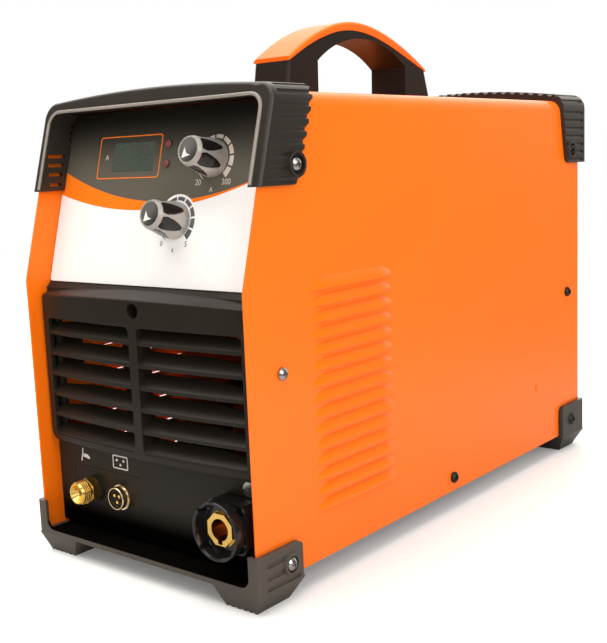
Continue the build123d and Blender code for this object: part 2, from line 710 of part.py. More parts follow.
def is_over(edge):
    """True for the long upper edges of the grip."""
    mid = edge @ 0.5
    return edge.length > 60 and mid.Z > 348


def screw_up(x, y):
    """Handle screw put in from below the cover."""
    seat = CASE_TOP - SHEET
    socket = extrude(Plane.XY.offset(seat - 4) * (Pos(x, y) * RegularPolygon(2.6, 6)), amount=2.4, dir=(0, 0, 1))
    head = rod_z(x, y, 4.6, seat - 3.2, seat - 0.05) - socket
    return head + rod_z(x, y, 2.4, seat - 0.1, HANDLE_BASE + 12)


# ------------------------------------------------------------------ fasteners
def pan_screw(length):
    """Cross-recess pan-head screw: seat at the origin, head along +Z, shank along -Z."""
    head = Pos(0, 0, -1.4) * Sphere(4.9) & Pos(0, 0, 2) * Cylinder(3.9, 4)
    recess = Box(4.2, 0.9, 2.4) + Box(0.9, 4.2, 2.4)
    head = head - Pos(0, 0, 3.3) * recess
    return head + Pos(0, 0, -length / 2 + 0.05) * Cylinder(1.95, length + 0.1)


def side_screw(place, seat, length):
    y, z = place
    screw = Pos(seat, y, z) * Rot(0, 90, 0) * pan_screw(length)
    return both_sides(screw)


def group(shapes):
    return Compound(children=shapes)


def flange_screw_spots():
    x, z = OUTPUT_SOCKET
    reach = 15.4
    step = reach / math.sqrt(2)
    return [(x + sx * step, z + sz * step) for sx, sz in ((-1, 1), (1, 1), (1, -1), (-1, -1))]


def flange_screws():
    screws = []
    for x, z in flange_screw_spots():
        screw = Pos(x, SOCKET_BLOCK_Y + 1.5, z) * Rot(90, 0, 0) * flat_screw()
        screws.append(screw)
    return group(screws)


def flat_screw():
    head = Pos(0, 0, 0.35) * Cylinder(2.5, 0.9)
    recess = Box(2.9, 0.6, 1.2) + Box(0.6, 2.9, 1.2)
    return head - Pos(0, 0, 0.9) * recess + Pos(0, 0, -9) * Cylinder(1.4, 18.1)


def earth_screw():
    x, z = EARTH_SCREW
    head = Pos(0, 0, 1.1) * Cylinder(4.6, 2.2) - Pos(0, 0, 2.2) * Box(10, 1.1, 1.6)
    screw = head + Pos(0, 0, -5) * Cylinder(2.0, 10.2)
    return Pos(x, PANEL_Y - 0.1, z) * Rot(90, 0, 0) * Rot(0, 0, 12) * screw


# ------------------------------------------------------------------ controls
def knob_profile(inset):
    return [
        (0.0, 0.6),
        (KNOB_BASE_R - inset, 0.6),
        (KNOB_BASE_R + 0.1 - inset, 4.0),
        (KNOB_BASE_R - 0.5 - inset, 9.0),
        (KNOB_FACE_R + 0.9 - inset, 15.0),
        (KNOB_FACE_R - inset, 20.2),
        (KNOB_FACE_R - 0.9 - inset, KNOB_H - inset),
        (0.0, KNOB_H - inset),
    ]


def turned_z(profile):
    """Turned piece about local Z. The profile is (radius, height) points."""
    return revolve(Plane.XZ * Polygon(*profile, align=None), Axis.Z)


def petal(trim):
    """Prism with the outline of a petal, broad near the knob's face and narrow near its base."""
    half = [(0.9, 4.4), (2.5, 7.6), (3.8, 12.0), (4.3, 16.4), (3.3, 19.6)]
    outline = half + [(-across, up) for across, up in reversed(half)]
    face = fillet(Polygon(*outline, align=None).vertices(), 0.8)
    if trim:
        face = offset(face, amount=-trim)
    return extrude(Plane.YZ.offset(6.0) * face, amount=8, dir=(1, 0, 0))


def knob_parts(place):
    """Knob body, face cap and six soft inserts, placed on the control panel."""
    body = turned_z(knob_profile(0))
    body = body - Pos(0, 0, KNOB_H) * Cylinder(7.2, 2.4)
    body = body - Pos(0, 0, 9) * Cylinder(SHAFT_R + 0.05, 19)
    core = turned_z(knob_profile(1.5))
    cutters = [Rot(0, 0, 60 * i + 30) * petal(0.0) for i in range(6)]
    body = body - [c - core for c in cutters]
    skin = turned_z(knob_profile(0.35)) - turned_z(knob_profile(1.45))
    inserts = [Rot(0, 0, 60 * i + 30) * petal(0.06) & skin for i in range(6)]
    cap = Pos(0, 0, KNOB_H - 0.75) * Cylinder(7.12, 0.8)
    where = on_control(*place, 0).location
    return where * body, where * cap, group([where * i for i in inserts])


def pot_shaft(place):
    """Shaft that turns with the knob, reaching into the potentiometer."""
    shaft = Pos(0, 0, 2.5) * Cylinder(SHAFT_R, 31)
    return on_control(*place, 0).location * shaft


def potentiometer(place):
    """Fixed potentiometer body with its threaded bushing and nut, behind the panel."""
    body = Pos(0, 0, -13.8) * Cylinder(8.5, 9.6)
    nose = Pos(0, 0, -4.7) * Cylinder(3.5, 10.0)
    ears = Pos(0, -9.5, -16.5) * Box(10, 6, 1.6)
    pot = body + nose + ears
    pot = pot - Pos(0, 0, -8) * Cylinder(SHAFT_R + RUN, 20.4)
    return on_control(*place, 0).location * pot


def indicator_leds():
    leds = []
    for place in LEDS:
        led = Pos(0, 0, -4) * Cylinder(1.5, 8) + Sphere(1.5)
        leds.append(on_control(*place, 0).location * led)
    return group(leds)


def display_window():
    w, h = DISPLAY_SIZE
    pane = Pos(0, 0, -0.5) * Box(w - 0.2, h - 0.2, 1.0)
    return on_control(*DISPLAY, 0).location * pane


def display_module():
    w, h = DISPLAY_SIZE
    module = Pos(0, 0, -6.2) * Box(w - 1.0, h - 1.0, 10.0)
    return on_control(*DISPLAY, 0).location * module


def control_board():
    board = Pos(8, -2, -20.2) * Box(128, 62, 1.6)
    for dx, dz in BOARD_BOSSES:
        board = board - Pos(dx, dz, -20.2) * Cylinder(1.6, 4)
    chips = [Pos(-20, -22, -22.0) * Box(18, 10, 2.2), Pos(40, 2, -22.2) * Box(12, 12, 2.6)]
    board = joined(board, chips)
    return on_control(0, 246, 0).location * board


BOARD_BOSSES = ((-58, -28), (74, -28), (74, 24), (-58, 24))


def board_bosses():
    """Moulded bosses on the back of the front panel that carry the control board."""
    bosses = []
    for dx, dz in BOARD_BOSSES:
        boss = Pos(dx, dz, -11.2) * Cylinder(3.0, 16.2) + Pos(dx, dz, -20.2) * Cylinder(1.45, 3.2)
        bosses.append(on_control(0, 246, 0).location * boss)
    return bosses


# ------------------------------------------------------------------ connectors
def torch_outlet():
    """Brass gas and current outlet: hexagon on its seat, threaded nose with a cone seat."""
    x, z = TORCH_OUTLET
    front = OUTLET_FRONT_Y
    root = OUTLET_SEAT_Y - 5.1
    hexagon = hex_y(x, z, 15.0, root, OUTLET_SEAT_Y, 30)
    nose = turned_y([(0, front), (6.5, front), (7.4, front + 1.0), (7.4, root + 0.1), (0, root + 0.1)], x, z)
    tail = turned_y([(0, -199), (6.0, -199), (6.0, -178), (4.2, -176), (4.2, -166), (0, -166)], x, z)
    cone = [(0, front - 1), (5.9, front - 0.05), (1.7, front + 6.5), (1.7, -160), (0, -160)]
    return hexagon + nose + tail - turned_y(cone, x, z)


def torch_outlet_nut():
    x, z = TORCH_OUTLET
    nut = hex_y(x, z, 17.0, PANEL_Y + PANEL_T + 0.1, PANEL_Y + PANEL_T + 6)
    return nut - rod_y(x, z, 6.05, -200, -180)


def control_socket_shell():
    x, z = CONTROL_SOCKET
    outline = [
        (6.6, -202.0), (7.1, -202.0), (7.4, -201.6), (7.4, -197.6), (8.3, -197.6), (8.3, PANEL_Y + 0.1),
        (7.5, PANEL_Y + 0.1), (7.5, -186), (6.6, -186),
    ]
    return turned_y(outline, x, z)


def control_socket_insert():
    x, z = CONTROL_SOCKET
    body = rod_y(x, z, 6.5, -197.4, -186.5)
    for px, pz in pin_spots():
        body = body - rod_y(px, pz, 1.05, -210, -180)
    return body


def pin_spots():
    x, z = CONTROL_SOCKET
    return [(x - 2.2, z + 1.6), (x + 2.2, z + 1.6), (x, z - 2.6)]


def control_socket_pins():
    return group([rod_y(x, z, 1.0, -200.8, -182.5) for x, z in pin_spots()])


def output_socket_body():
    """Black socket: a round collar in front of a square block with a screw at each corner."""
    x, z = OUTPUT_SOCKET
    outline = [
        (10.6, -212.0), (14.6, -212.0), (15.4, -218.6), (16.0, -219.2), (17.0, -219.2), (17.5, -218.6),
        (17.5, -213.0), (14.0, -211.0), (14.0, -186), (10.6, -186),
    ]
    block_face = Pos(x, z) * RectangleRounded(30.0, 30.0, 5.0)
    depth = PANEL_Y - 0.1 - SOCKET_BLOCK_Y
    square = extrude(Plane.XZ.offset(-SOCKET_BLOCK_Y) * block_face, amount=depth, dir=(0, 1, 0))
    body = turned_y(outline, x, z) + (square - rod_y(x, z, 12.0, -230, -180))
    for sx, sz in flange_screw_spots():
        body = body - rod_y(sx, sz, 1.5, -225, -190)
        body = body - rod_y(sx, sz, 2.6, -211.5, SOCKET_BLOCK_Y + 1.6)
    return body


def output_socket_insert():
    x, z = OUTPUT_SOCKET
    face = Pos(x, z) * RegularPolygon(10.2, 8, rotation=22.5)
    head = extrude(Plane.XZ.offset(212.1) * face, amount=2.5, dir=(0, -1, 0))
    neck = rod_y(x, z, 10.5, -212.1, -180)
    stud = rod_y(x, z, 5.0, -180.1, -158)
    body = head + neck + stud
    body = body - rod_y(x, z, 6.5, -218, -188)
    key = block(x - 1.7, x + 1.7, -218, -190, z - 8.6, z)
    return body - key


def output_socket_nut():
    x, z = OUTPUT_SOCKET
    return hex_y(x, z, 16.0, -175.0, -168.0) - rod_y(x, z, 5.05, -176, -167)


# ------------------------------------------------------------------ rear panel and its fittings
def fan_screw_spots():
    reach = 52.5
    x, z = FAN_CENTRE
    return [(x + sx * reach, z + sz * reach) for sx in (-1, 1) for sz in (-1, 1)]


def rear_panel():
    half = PANEL_HALF
    y0 = REAR_PANEL_Y
    y1 = y0 + 1.5
    plate = block(-half, half, y0, y1, TRAY_Z, CASE_TOP - SHEET - 3.0)
    wings = both_sides(block(half - 1.4, half, y0 - 24, y0 + 0.1, 110, 160))
    wings += both_sides(block(half - 1.4, half, y0 - 24, y0 + 0.1, 240, 265))
    plate = joined(plate, wings) & envelope_solid(-SHEET - GAP, -230, 230)
    plate = plate - rod_y(*FAN_CENTRE, 56.0, y0 - 1, y1 + 1)
    plate = plate - [rod_y(x, z, 2.2, y0 - 1, y1 + 1) for x, z in fan_screw_spots()]
    x, z = SWITCH_AT
    plate = plate - block(x - 23, x + 23, y0 - 1, y1 + 1, z - 17, z + 17)
    plate = plate - rod_y(*GLAND_AT, 10.1, y0 - 1, y1 + 1)
    plate = plate - rod_y(*GAS_IN_AT, 6.1, y0 - 1, y1 + 1)
    return plate - side_holes([REAR_SCREW, REAR_VISOR_SCREW], 2.05)


def fan_guard():
    """Welded wire guard: rings, two crossing bars and four mounting loops."""
    y = REAR_PANEL_Y + 1.5 + 1.1
    x, z = FAN_CENTRE
    rings = [Pos(x, y, z) * Rot(90, 0, 0) * Torus(r, 0.9) for r in (14, 24, 34, 44, 54)]
    guard = rings[0]
    guard = joined(guard, rings[1:])
    for angle in (45, 135):
        bar = Pos(x, y + 0.2, z) * Rot(0, -angle, 0) * Box(141, 1.6, 2.0)
        guard = guard + bar
    for sx, sz in fan_screw_spots():
        guard = guard + (rod_y(sx, sz, 5.0, y - 0.7, y + 1.4) - rod_y(sx, sz, 2.3, y - 2, y + 3))
    return guard


def fan_frame():
    x, z = FAN_CENTRE
    y1 = REAR_PANEL_Y - 0.1
    y0 = y1 - FAN_DEPTH
    half = FAN_SIZE / 2
    frame = block(x - half, x + half, y0, y1, z - half, z + half)
    frame = fillet(frame.edges().filter_by(Axis.Y), 6)
    frame = frame - rod_y(x, z, 57.0, y0 - 1, y1 + 1)
    waist = block(x - 80, x + 80, y0 + 4, y1 - 4, z - 80, z + 80) - rod_y(x, z, 60.0, y0, y1)
    frame = frame - waist
    frame = frame - [rod_y(sx, sz, 2.2, y0 - 1, y1 + 1) for sx, sz in fan_screw_spots()]
    motor = rod_y(x, z, 19.0, y0, y0 + 4.5)
    spokes = []
    for i in range(4):
        bar = Pos(x, y0 + 2, z) * Rot(0, 45 + 90 * i, 0) * Pos(38, 0, 0) * Box(42, 4, 6)
        spokes.append(bar)
    frame = joined(frame, [motor] + spokes)
    axle = rod_y(x, z, 2.0, y0 + 4, y0 + 20)
    return frame + axle


def fan_rotor():
    x, z = FAN_CENTRE
    y0 = REAR_PANEL_Y - 0.1 - FAN_DEPTH
    hub = rod_y(x, z, 20.0, y0 + 6, y0 + 23)
    hub = fillet(hub.edges().sort_by(Axis.Y)[-1], 2.0)
    blades = []
    for i in range(7):
        blade = Pos(36.5, 0, 0) * Rot(40, 0, 0) * Box(37, 20, 1.8)
        blade = blade & Rot(90, 0, 0) * (Cylinder(55.5, 16) - Cylinder(18.5, 16))
        blades.append(Pos(x, y0 + 14.2, z) * Rot(0, 360 / 7 * i, 0) * blade)
    rotor = joined(hub, blades)
    return rotor - rod_y(x, z, 2.0 + RUN, y0 + 5, y0 + 21)


def fan_screws():
    screws = []
    for x, z in fan_screw_spots():
        head = Pos(x, REAR_PANEL_Y + 4.6, z) * Rot(-90, 0, 0) * pan_screw(32)
        screws.append(head)
    return group(screws)


def power_switch_body():
    """Panel-mounted mains breaker with a window for its toggle."""
    x, z = SWITCH_AT
    y1 = REAR_PANEL_Y + 1.5
    bezel = block(x - 26, x + 26, y1 + 0.1, y1 + 3.6, z - 20, z + 20)
    bezel = fillet(bezel.edges().filter_by(Axis.Y), 3)
    core = block(x - 22.6, x + 22.6, REAR_PANEL_Y - 46, y1 + 0.2, z - 16.6, z + 16.6)
    body = bezel + core
    body = body - block(x - 13, x + 13, y1 - 12, y1 + 5, z - 11, z + 11)
    pin_hole = rod_x(y1 - 6, z, 1.5 + RUN, x - 17, x + 17)
    return body - pin_hole


def power_switch_lever():
    """Toggle on its cross pin, at rest in the off position with the tip down."""
    x, z = SWITCH_AT
    y = REAR_PANEL_Y + 1.5 - 6
    tip = Box(24, 14, 5.0)
    tip = fillet(tip.edges().filter_by(Axis.X), 1.2)
    arm = Pos(0, 8, 0) * tip + Rot(0, 90, 0) * Cylinder(4.4, 24) + Rot(0, 90, 0) * Cylinder(1.5, 33)
    return Pos(x, y, z) * Rot(-22, 0, 0) * arm


def cable_gland():
    x, z = GLAND_AT
    y = REAR_PANEL_Y + 1.5
    ring = turned_y([(CABLE_R, y + 0.1), (13.0, y + 0.1), (13.0, y + 2), (12.0, y + 3), (CABLE_R, y + 3)], x, z)
    dome = hex_y(x, z, 22, y + 2.9, y + 9)
    cap = turned_y([(CABLE_R, y + 8.9), (10.6, y + 8.9), (8.6, REAR_REACH), (CABLE_R, REAR_REACH)], x, z)
    neck = rod_y(x, z, 10.0, REAR_PANEL_Y - 9, y + 0.2)
    gland = ring + dome + cap + neck
    return gland - rod_y(x, z, CABLE_R, REAR_PANEL_Y - 12, y + 30)


def gland_nut():
    x, z = GLAND_AT
    nut = hex_y(x, z, 26, REAR_PANEL_Y - 6, REAR_PANEL_Y - 0.1)
    return nut - rod_y(x, z, 10.05, 190, 210)


# ------------------------------------------------------------------ gas path
VALVE_Y = (168.0, 198.0)


def gas_inlet():
    x, z = GAS_IN_AT
    y = REAR_PANEL_Y + 1.5
    flange = hex_y(x, z, 19, y + 0.1, y + 4)
    thread = turned_y([(0, y + 3), (8.0, y + 3), (8.0, y + 12.6), (7.2, y + 13.4), (0, y + 13.4)], x, z)
    neck = rod_y(x, z, 6.0, VALVE_Y[1] + 0.1, y + 0.2)
    return flange + thread + neck - rod_y(x, z, 2.5, 190, 240)


def gas_valve_body():
    x, z = GAS_IN_AT
    body = block(x - 13, x + 13, *VALVE_Y, z - 12, z + 12)
    body = body - rod_y(x, z, 2.5, VALVE_Y[0] - 1, VALVE_Y[1] + 1)
    stem = rod_z(x, 183, 6.5, z + 11.9, z + 44)
    bore = rod_z(x, 183, 4.0 + RUN, z + 4, z + 41)
    nipple = rod_y(x, z, 3.9, VALVE_Y[0] - 12, VALVE_Y[0] + 0.1) - rod_y(x, z, 2.5, 140, 170)
    return body + stem + nipple - bore


def gas_valve_plunger():
    """Plunger resting on its seat; it lifts 2 mm."""
    x, z = GAS_IN_AT
    return rod_z(x, 183, 4.0, z + 4.2, z + 36)


def gas_valve_coil():
    x, z = GAS_IN_AT
    coil = block(x - 14, x + 14, 169.5, 196.5, z + 12.6, z + 42)
    coil = fillet(coil.edges().filter_by(Axis.Z), 3)
    return coil - rod_z(x, 183, 6.6, z + 10, z + 45)


def gas_hose():
    """Soft hose from the valve's nipple to the torch outlet's tail."""
    x0, z0 = GAS_IN_AT
    x1, z1 = TORCH_OUTLET
    start = (x0, VALVE_Y[0] - 0.3, z0)
    end = (x1, -175.4, z1)
    bends = [start, (-79, 60, 40), (-79, -60, 40), (x1, -158, z1)]
    path = Spline(*bends, tangents=[(0, -1, 0), (0, -1, 0)]) + Line(bends[-1], end)
    ring = Plane(origin=start, x_dir=(1, 0, 0), z_dir=(0, -1, 0)) * (Circle(6.2) - Circle(4.3))
    return sweep(ring, path=path)


# ------------------------------------------------------------------ power electronics
def chassis_bridge():
    """Shelf over the power stage, on four legs that stand on the tray."""
    top = block(-90, 90, -140, 165, SHELF_Z, SHELF_Z + SHEET)
    legs = []
    foot_z = TRAY_Z + SHEET + 0.05
    for y in (-138, 147):
        legs += both_sides(block(88.8, 90, y, y + 16, foot_z, SHELF_Z + 0.1))
        legs += both_sides(block(78, 90, y, y + 16, foot_z, foot_z + SHEET))
    bridge = joined(top, legs)
    return bridge - [block(-30, 30, 20 + 34 * i, 32 + 34 * i, SHELF_Z - 1, SHELF_Z + 3) for i in range(3)]


def heatsink(x0, x1, y0, y1, z0):
    base = block(x0, x1, y0, y1, z0 + 34, z0 + 42)
    fins = []
    count = int((x1 - x0) // 7) + 1
    pitch = (x1 - x0 - 2) / (count - 1)
    for i in range(count):
        x = x0 + pitch * i
        fins.append(block(x, x + 2, y0, y1, z0, z0 + 34.1))
    return joined(base, fins)


SINK_Z = TRAY_Z + SHEET + 18


def heatsinks():
    return group([heatsink(-62, 8, 20, 150, SINK_Z), heatsink(14, 84, 20, 150, SINK_Z)])


def power_modules():
    blocks = []
    top = SINK_Z + 42.05
    for x in (-27, 49):
        for y in (50, 110):
            body = block(x - 17, x + 17, y - 24, y + 24, top, top + 16)
            lugs = [rod_z(x + dx, y, 3.2, top + 15.9, top + 18.6) for dx in (-9, 9)]
            blocks.append(joined(body, lugs))
    return group(blocks)


BOARD_Z = SINK_Z + 42.05 + 18.7


def inverter_board():
    board = block(-66, 86, 14, 152, BOARD_Z, BOARD_Z + 2)
    return board - [rod_z(x, y, 2.0, BOARD_Z - 1, BOARD_Z + 3) for x in (-36, -18, 40, 58) for y in (50, 110)]


def bulk_capacitors():
    cans = []
    for x in (-42, 0, 42):
        for y in (52, 104):
            can = rod_z(x, y, 17.0, BOARD_Z + 2.05, BOARD_Z + 50)
            cans.append(fillet(can.edges().sort_by(Axis.Z)[-1], 1.5))
    return group(cans)


def transformer_core():
    """Pair of E cores around the winding."""
    z0 = TRAY_Z + SHEET + 0.1
    outer = block(-58, 26, -72, -22, z0, z0 + 74)
    return outer - [block(-46, -28, -73, -21, z0 + 12, z0 + 62), block(-4, 14, -73, -21, z0 + 12, z0 + 62)]


def transformer_winding():
    z0 = TRAY_Z + SHEET + 0.1
    outer = block(-43, 11, -84, -10, z0 + 14, z0 + 60)
    outer = fillet(outer.edges().filter_by(Axis.Z), 10)
    return outer - block(-28.3, -3.7, -73, -21, z0 + 10, z0 + 64)


def output_choke():
    z0 = TRAY_Z + SHEET + 0.1
    ring = rod_z(58, -40, 29, z0, z0 + 34) - rod_z(58, -40, 13, z0 - 1, z0 + 40)
    ring = fillet(ring.edges().filter_by(GeomType.CIRCLE), 6)
    return ring


def coupling_coil():
    """High-frequency ignition coil: stacked turns on an upright former."""
    z0 = TRAY_Z + SHEET + 0.1
    former = rod_z(50, -118, 15, z0, z0 + 70) - rod_z(50, -118, 12, z0 - 1, z0 + 71)
    turns = [Pos(50, -118, z0 + 12 + 9 * i) * Torus(19.0, 4.1) for i in range(6)]
    return joined(former, turns)


def output_busbar():
    """Copper strap from the choke to the output socket's stud."""
    x, z = OUTPUT_SOCKET
    strap = block(x - 8, x + 8, -167.9, -164.9, z - 9, z + 44)
    shelf = block(x - 8, x + 8, -167.9, -60, z + 41, z + 44)
    strap = strap + shelf
    return strap - rod_y(x, z, 5.1, -170, -160)


def main():
    pieces = {
        "cover_shell": cover_shell(),
        "base_tray": base_tray(),
        "front_panel": front_panel(),
        "socket_plate": socket_plate(),
        "control_overlay": control_overlay(),
        "front_grille": front_grille(),
        "front_visor": front_visor(),
        "rear_visor": rear_visor(),
        "front_bumper": front_bumper(),
        "rear_bumper": rear_bumper(),
        "rear_panel": rear_panel(),
        "handle_body": handle_body(),
        "handle_grip": handle_grip(),
        "handle_screws": group([screw_up(x, y) for x, y in HANDLE_SCREWS]),
        "display_window": display_window(),
        "display_module": display_module(),
        "indicator_leds": indicator_leds(),
        "control_board": control_board(),
        "torch_outlet": torch_outlet(),
        "control_socket_shell": control_socket_shell(),
        "control_socket_insert": control_socket_insert(),
        "control_socket_pins": control_socket_pins(),
        "output_socket_body": output_socket_body(),
        "output_socket_insert": output_socket_insert(),
        "socket_flange_screws": flange_screws(),
        "earth_screw": earth_screw(),
        "fan_guard": fan_guard(),
        "fan_frame": fan_frame(),
        "fan_rotor": fan_rotor(),
        "fan_screws": fan_screws(),
        "power_switch_body": power_switch_body(),
        "power_switch_lever": power_switch_lever(),
        "cable_gland": cable_gland(),
        "panel_nuts": group([torch_outlet_nut(), output_socket_nut(), gland_nut()]),
        "potentiometers": group([potentiometer(CURRENT_KNOB), potentiometer(DELAY_KNOB)]),
        "gas_inlet": gas_inlet(),
        "gas_valve_body": gas_valve_body(),
        "gas_valve_plunger": gas_valve_plunger(),
        "gas_valve_coil": gas_valve_coil(),
        "gas_hose": gas_hose(),
        "chassis_bridge": chassis_bridge(),
        "heatsinks": heatsinks(),
        "power_modules": power_modules(),
        "inverter_board": inverter_board(),
        "bulk_capacitors": bulk_capacitors(),
        "transformer_core": transformer_core(),
        "transformer_winding": transformer_winding(),
        "output_choke": output_choke(),
        "coupling_coil": coupling_coil(),
        "output_busbar": output_busbar(),
    }
    for name, place in (("current", CURRENT_KNOB), ("delay", DELAY_KNOB)):
        body, cap, inserts = knob_parts(place)
        pieces[f"{name}_knob"] = body
        pieces[f"{name}_knob_cap"] = cap
        pieces[f"{name}_knob_inserts"] = inserts
        pieces[f"{name}_pot_shaft"] = pot_shaft(place)
    screws = side_screw(FRONT_SCREW, HALF + 0.05, 5)
    screws += side_screw(VISOR_SCREW, SKIN_X - 0.85, 7)
    screws += side_screw(BUMPER_SCREW, SKIN_X - 0.85, 7)
    pieces["case_screws_front"] = group(screws)
    dark = side_screw(BASE_SCREW, HALF + 0.05, 5) + side_screw(REAR_SCREW, HALF + 0.05, 5)
    dark += side_screw(REAR_VISOR_SCREW, SKIN_X - 1.15, 7)
    dark += side_screw(REAR_BUMPER_SCREW, SKIN_X - 0.85, 7)
    pieces["case_screws_rear"] = group(dark)
    for name, shape in pieces.items():
        save(name, shape)


main()
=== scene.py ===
"""Looks of a portable welding machine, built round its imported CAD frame.

Metres throughout: X is the width, Y the depth with the front at -Y, and Z is up from the ground.
"""

import json
import math

import bpy
from mathutils import Matrix, Vector


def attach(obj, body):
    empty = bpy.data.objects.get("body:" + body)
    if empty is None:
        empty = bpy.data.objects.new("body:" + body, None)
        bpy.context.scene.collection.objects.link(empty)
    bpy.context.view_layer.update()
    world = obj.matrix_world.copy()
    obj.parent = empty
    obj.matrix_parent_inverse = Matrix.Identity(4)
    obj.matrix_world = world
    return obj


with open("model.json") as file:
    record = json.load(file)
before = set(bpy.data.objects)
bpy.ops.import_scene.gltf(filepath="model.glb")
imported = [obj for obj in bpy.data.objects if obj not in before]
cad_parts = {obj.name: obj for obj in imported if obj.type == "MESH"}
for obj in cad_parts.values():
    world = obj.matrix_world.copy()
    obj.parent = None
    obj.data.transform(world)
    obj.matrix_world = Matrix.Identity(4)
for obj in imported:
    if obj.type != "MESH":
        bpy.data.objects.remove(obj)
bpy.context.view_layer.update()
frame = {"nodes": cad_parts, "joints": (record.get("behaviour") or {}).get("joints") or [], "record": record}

MM = 0.001
MACHINE = "machine"
joints = {joint["name"]: joint for joint in frame["joints"]}


# ------------------------------------------------------------------ material kit
class Look:
    """One procedural material. A value may be a number, a colour or another node's output."""

    def __init__(self, name):
        self.material = bpy.data.materials.new(name)
        self.material.use_nodes = True
        self.tree = self.material.node_tree
        self.skin = self.tree.nodes["Principled BSDF"]
        self.place = self.add("TexCoord").outputs["Object"]

    def feed(self, socket, value):
        if isinstance(value, bpy.types.NodeSocket):
            self.tree.links.new(value, socket)
        elif isinstance(value, tuple) and len(value) == 3 and socket.type == "RGBA":
            socket.default_value = (*value, 1.0)
        else:
            socket.default_value = value

    def add(self, kind, inputs=None, **settings):
        node = self.tree.nodes.new("ShaderNode" + kind)
        for name, value in settings.items():
            setattr(node, name, value)
        for key, value in (inputs or {}).items():
            self.feed(node.inputs[key], value)
        return node

    def calc(self, operation, *values):
        return self.add("Math", dict(enumerate(values)), operation=operation).outputs[0]

    def axes(self):
        """X, Y and Z of the surface point, in millimetres."""
        parts = self.add("SeparateXYZ", {0: self.place}).outputs
        return [self.calc("MULTIPLY", part, 1 / MM) for part in parts]

    def noise(self, scale, detail=2.0, roughness=0.5, stretch=None):
        vector = self.place
        if stretch:
            vector = self.add("Mapping", {"Vector": vector, "Scale": stretch}).outputs[0]
        inputs = {"Vector": vector, "Scale": scale, "Detail": detail, "Roughness": roughness}
        return self.add("TexNoise", inputs).outputs["Fac"]

    def cells(self, scale):
        inputs = {"Vector": self.place, "Scale": scale}
        return self.add("TexVoronoi", inputs).outputs["Distance"]

    def span(self, value, low, high, out_low=0.0, out_high=1.0, smooth=True):
        """Maps value from low..high to out_low..out_high, held at the ends."""
        kind = "SMOOTHSTEP" if smooth else "LINEAR"
        inputs = {"Value": value, "From Min": low, "From Max": high, "To Min": out_low, "To Max": out_high}
        return self.add("MapRange", inputs, interpolation_type=kind, clamp=True).outputs[0]

    def mix(self, first, second, share):
        node = self.add("Mix", data_type="RGBA")
        self.feed(node.inputs[0], share)
        self.feed(node.inputs[6], first)
        self.feed(node.inputs[7], second)
        return node.outputs[2]

    def round_edges(self, radius):
        """Normal that reads as a small edge radius."""
        return self.add("Bevel", {"Radius": radius}, samples=4).outputs[0]

    def edge_share(self, normal):
        """0 on flat surfaces, rising to 1 on the sharp edges that normal rounds off."""
        true = self.add("NewGeometry").outputs["Normal"]
        dot = self.add("VectorMath", {0: normal, 1: true}, operation="DOT_PRODUCT").outputs["Value"]
        return self.span(dot, 0.995, 0.82)

    def bump(self, height, distance, normal=None, strength=1.0):
        inputs = {"Height": height, "Distance": distance, "Strength": strength}
        if normal is not None:
            inputs["Normal"] = normal
        return self.add("Bump", inputs).outputs[0]

    def finish(self, **values):
        for name, value in values.items():
            self.feed(self.skin.inputs[name.replace("_", " ")], value)
        return self.material


def scaled(colour, factor):
    return tuple(min(1.0, part * factor) for part in colour)


# ------------------------------------------------------------------ materials
def moulded(name, colour, rough, grain=0.02, edge_highlight=2.0, coat=0.0, specular=0.22, shade=None):
    """Moulded plastic: fine spark-eroded grain, slow tone change and edges painted lighter as a highlight.

    shade gives the share of painted shade at each point, which darkens the colour and the specular.
    """
    look = Look(name)
    slow = look.noise(22.0, 3.0)
    fine = look.noise(1900.0, 2.0)
    speck = look.noise(900.0, 4.0, 0.7)
    base = look.mix(scaled(colour, 0.82), scaled(colour, 1.25), slow)
    base = look.mix(base, scaled(colour, 1.6), look.span(speck, 0.58, 0.8, 0.0, 0.5))
    rounded = look.round_edges(0.5 * MM)
    edge = look.edge_share(rounded)
    # Painted highlight: the colour turns lighter on the sharp edges.
    base = look.mix(base, scaled(colour, edge_highlight), edge)
    # Painted shade: colour and specular darken by the shade share.
    if shade:
        share = shade(look)
        base = look.mix(base, scaled(colour, 0.05), share)
        specular = look.calc("MULTIPLY", look.calc("SUBTRACT", 1.0, share), specular)
    roughness = look.span(fine, 0.3, 0.7, rough - 0.05, rough + 0.07, smooth=False)
    normal = look.bump(fine, grain * MM, rounded)
    return look.finish(
        Base_Color=base, Roughness=roughness, Normal=normal, Coat_Weight=coat, Coat_Roughness=0.12,
        Specular_IOR_Level=specular,
    )


def low_shade(look):
    """Painted shade darkening the foot of the connector panel towards the bottom."""
    return look.span(look.axes()[2], 46.0, 24.0)


def inside_shade(look):
    """Painted shade darkening the inner faces of the front corner guard."""
    x, y, z = look.axes()
    inside = look.span(look.calc("ABSOLUTE", x), 91.2, 90.6)
    behind = look.span(y, -212.3, -211.6)
    return look.calc("MULTIPLY", look.calc("MULTIPLY", inside, behind), look.span(z, 14.6, 15.4))


def painted_sheet(name, colour):
    """Gloss powder coat on sheet steel: orange-peel waves, faint dust, tone change and edges painted a
    lighter orange as a highlight.
    """
    look = Look(name)
    peel = look.noise(330.0, 2.0, 0.4)
    dust = look.noise(2600.0, 2.0, 0.6)
    base = look.mix(scaled(colour, 0.98), scaled(colour, 1.02), look.noise(9.0, 2.0))
    base = look.mix(base, scaled(colour, 1.06), look.span(dust, 0.6, 0.85, 0.0, 0.4))
    rounded = look.round_edges(0.45 * MM)
    edge = look.edge_share(rounded)
    # Painted highlight: a lighter orange on the sharp edges.
    base = look.mix(base, (0.98, 0.36, 0.08), look.calc("MULTIPLY", edge, 0.35))
    return look.finish(
        Base_Color=base, Roughness=look.span(peel, 0.3, 0.7, 0.30, 0.36), Coat_Weight=0.1,
        Coat_Roughness=0.14, Normal=look.bump(peel, 0.004 * MM, rounded), Specular_IOR_Level=0.22,
    )


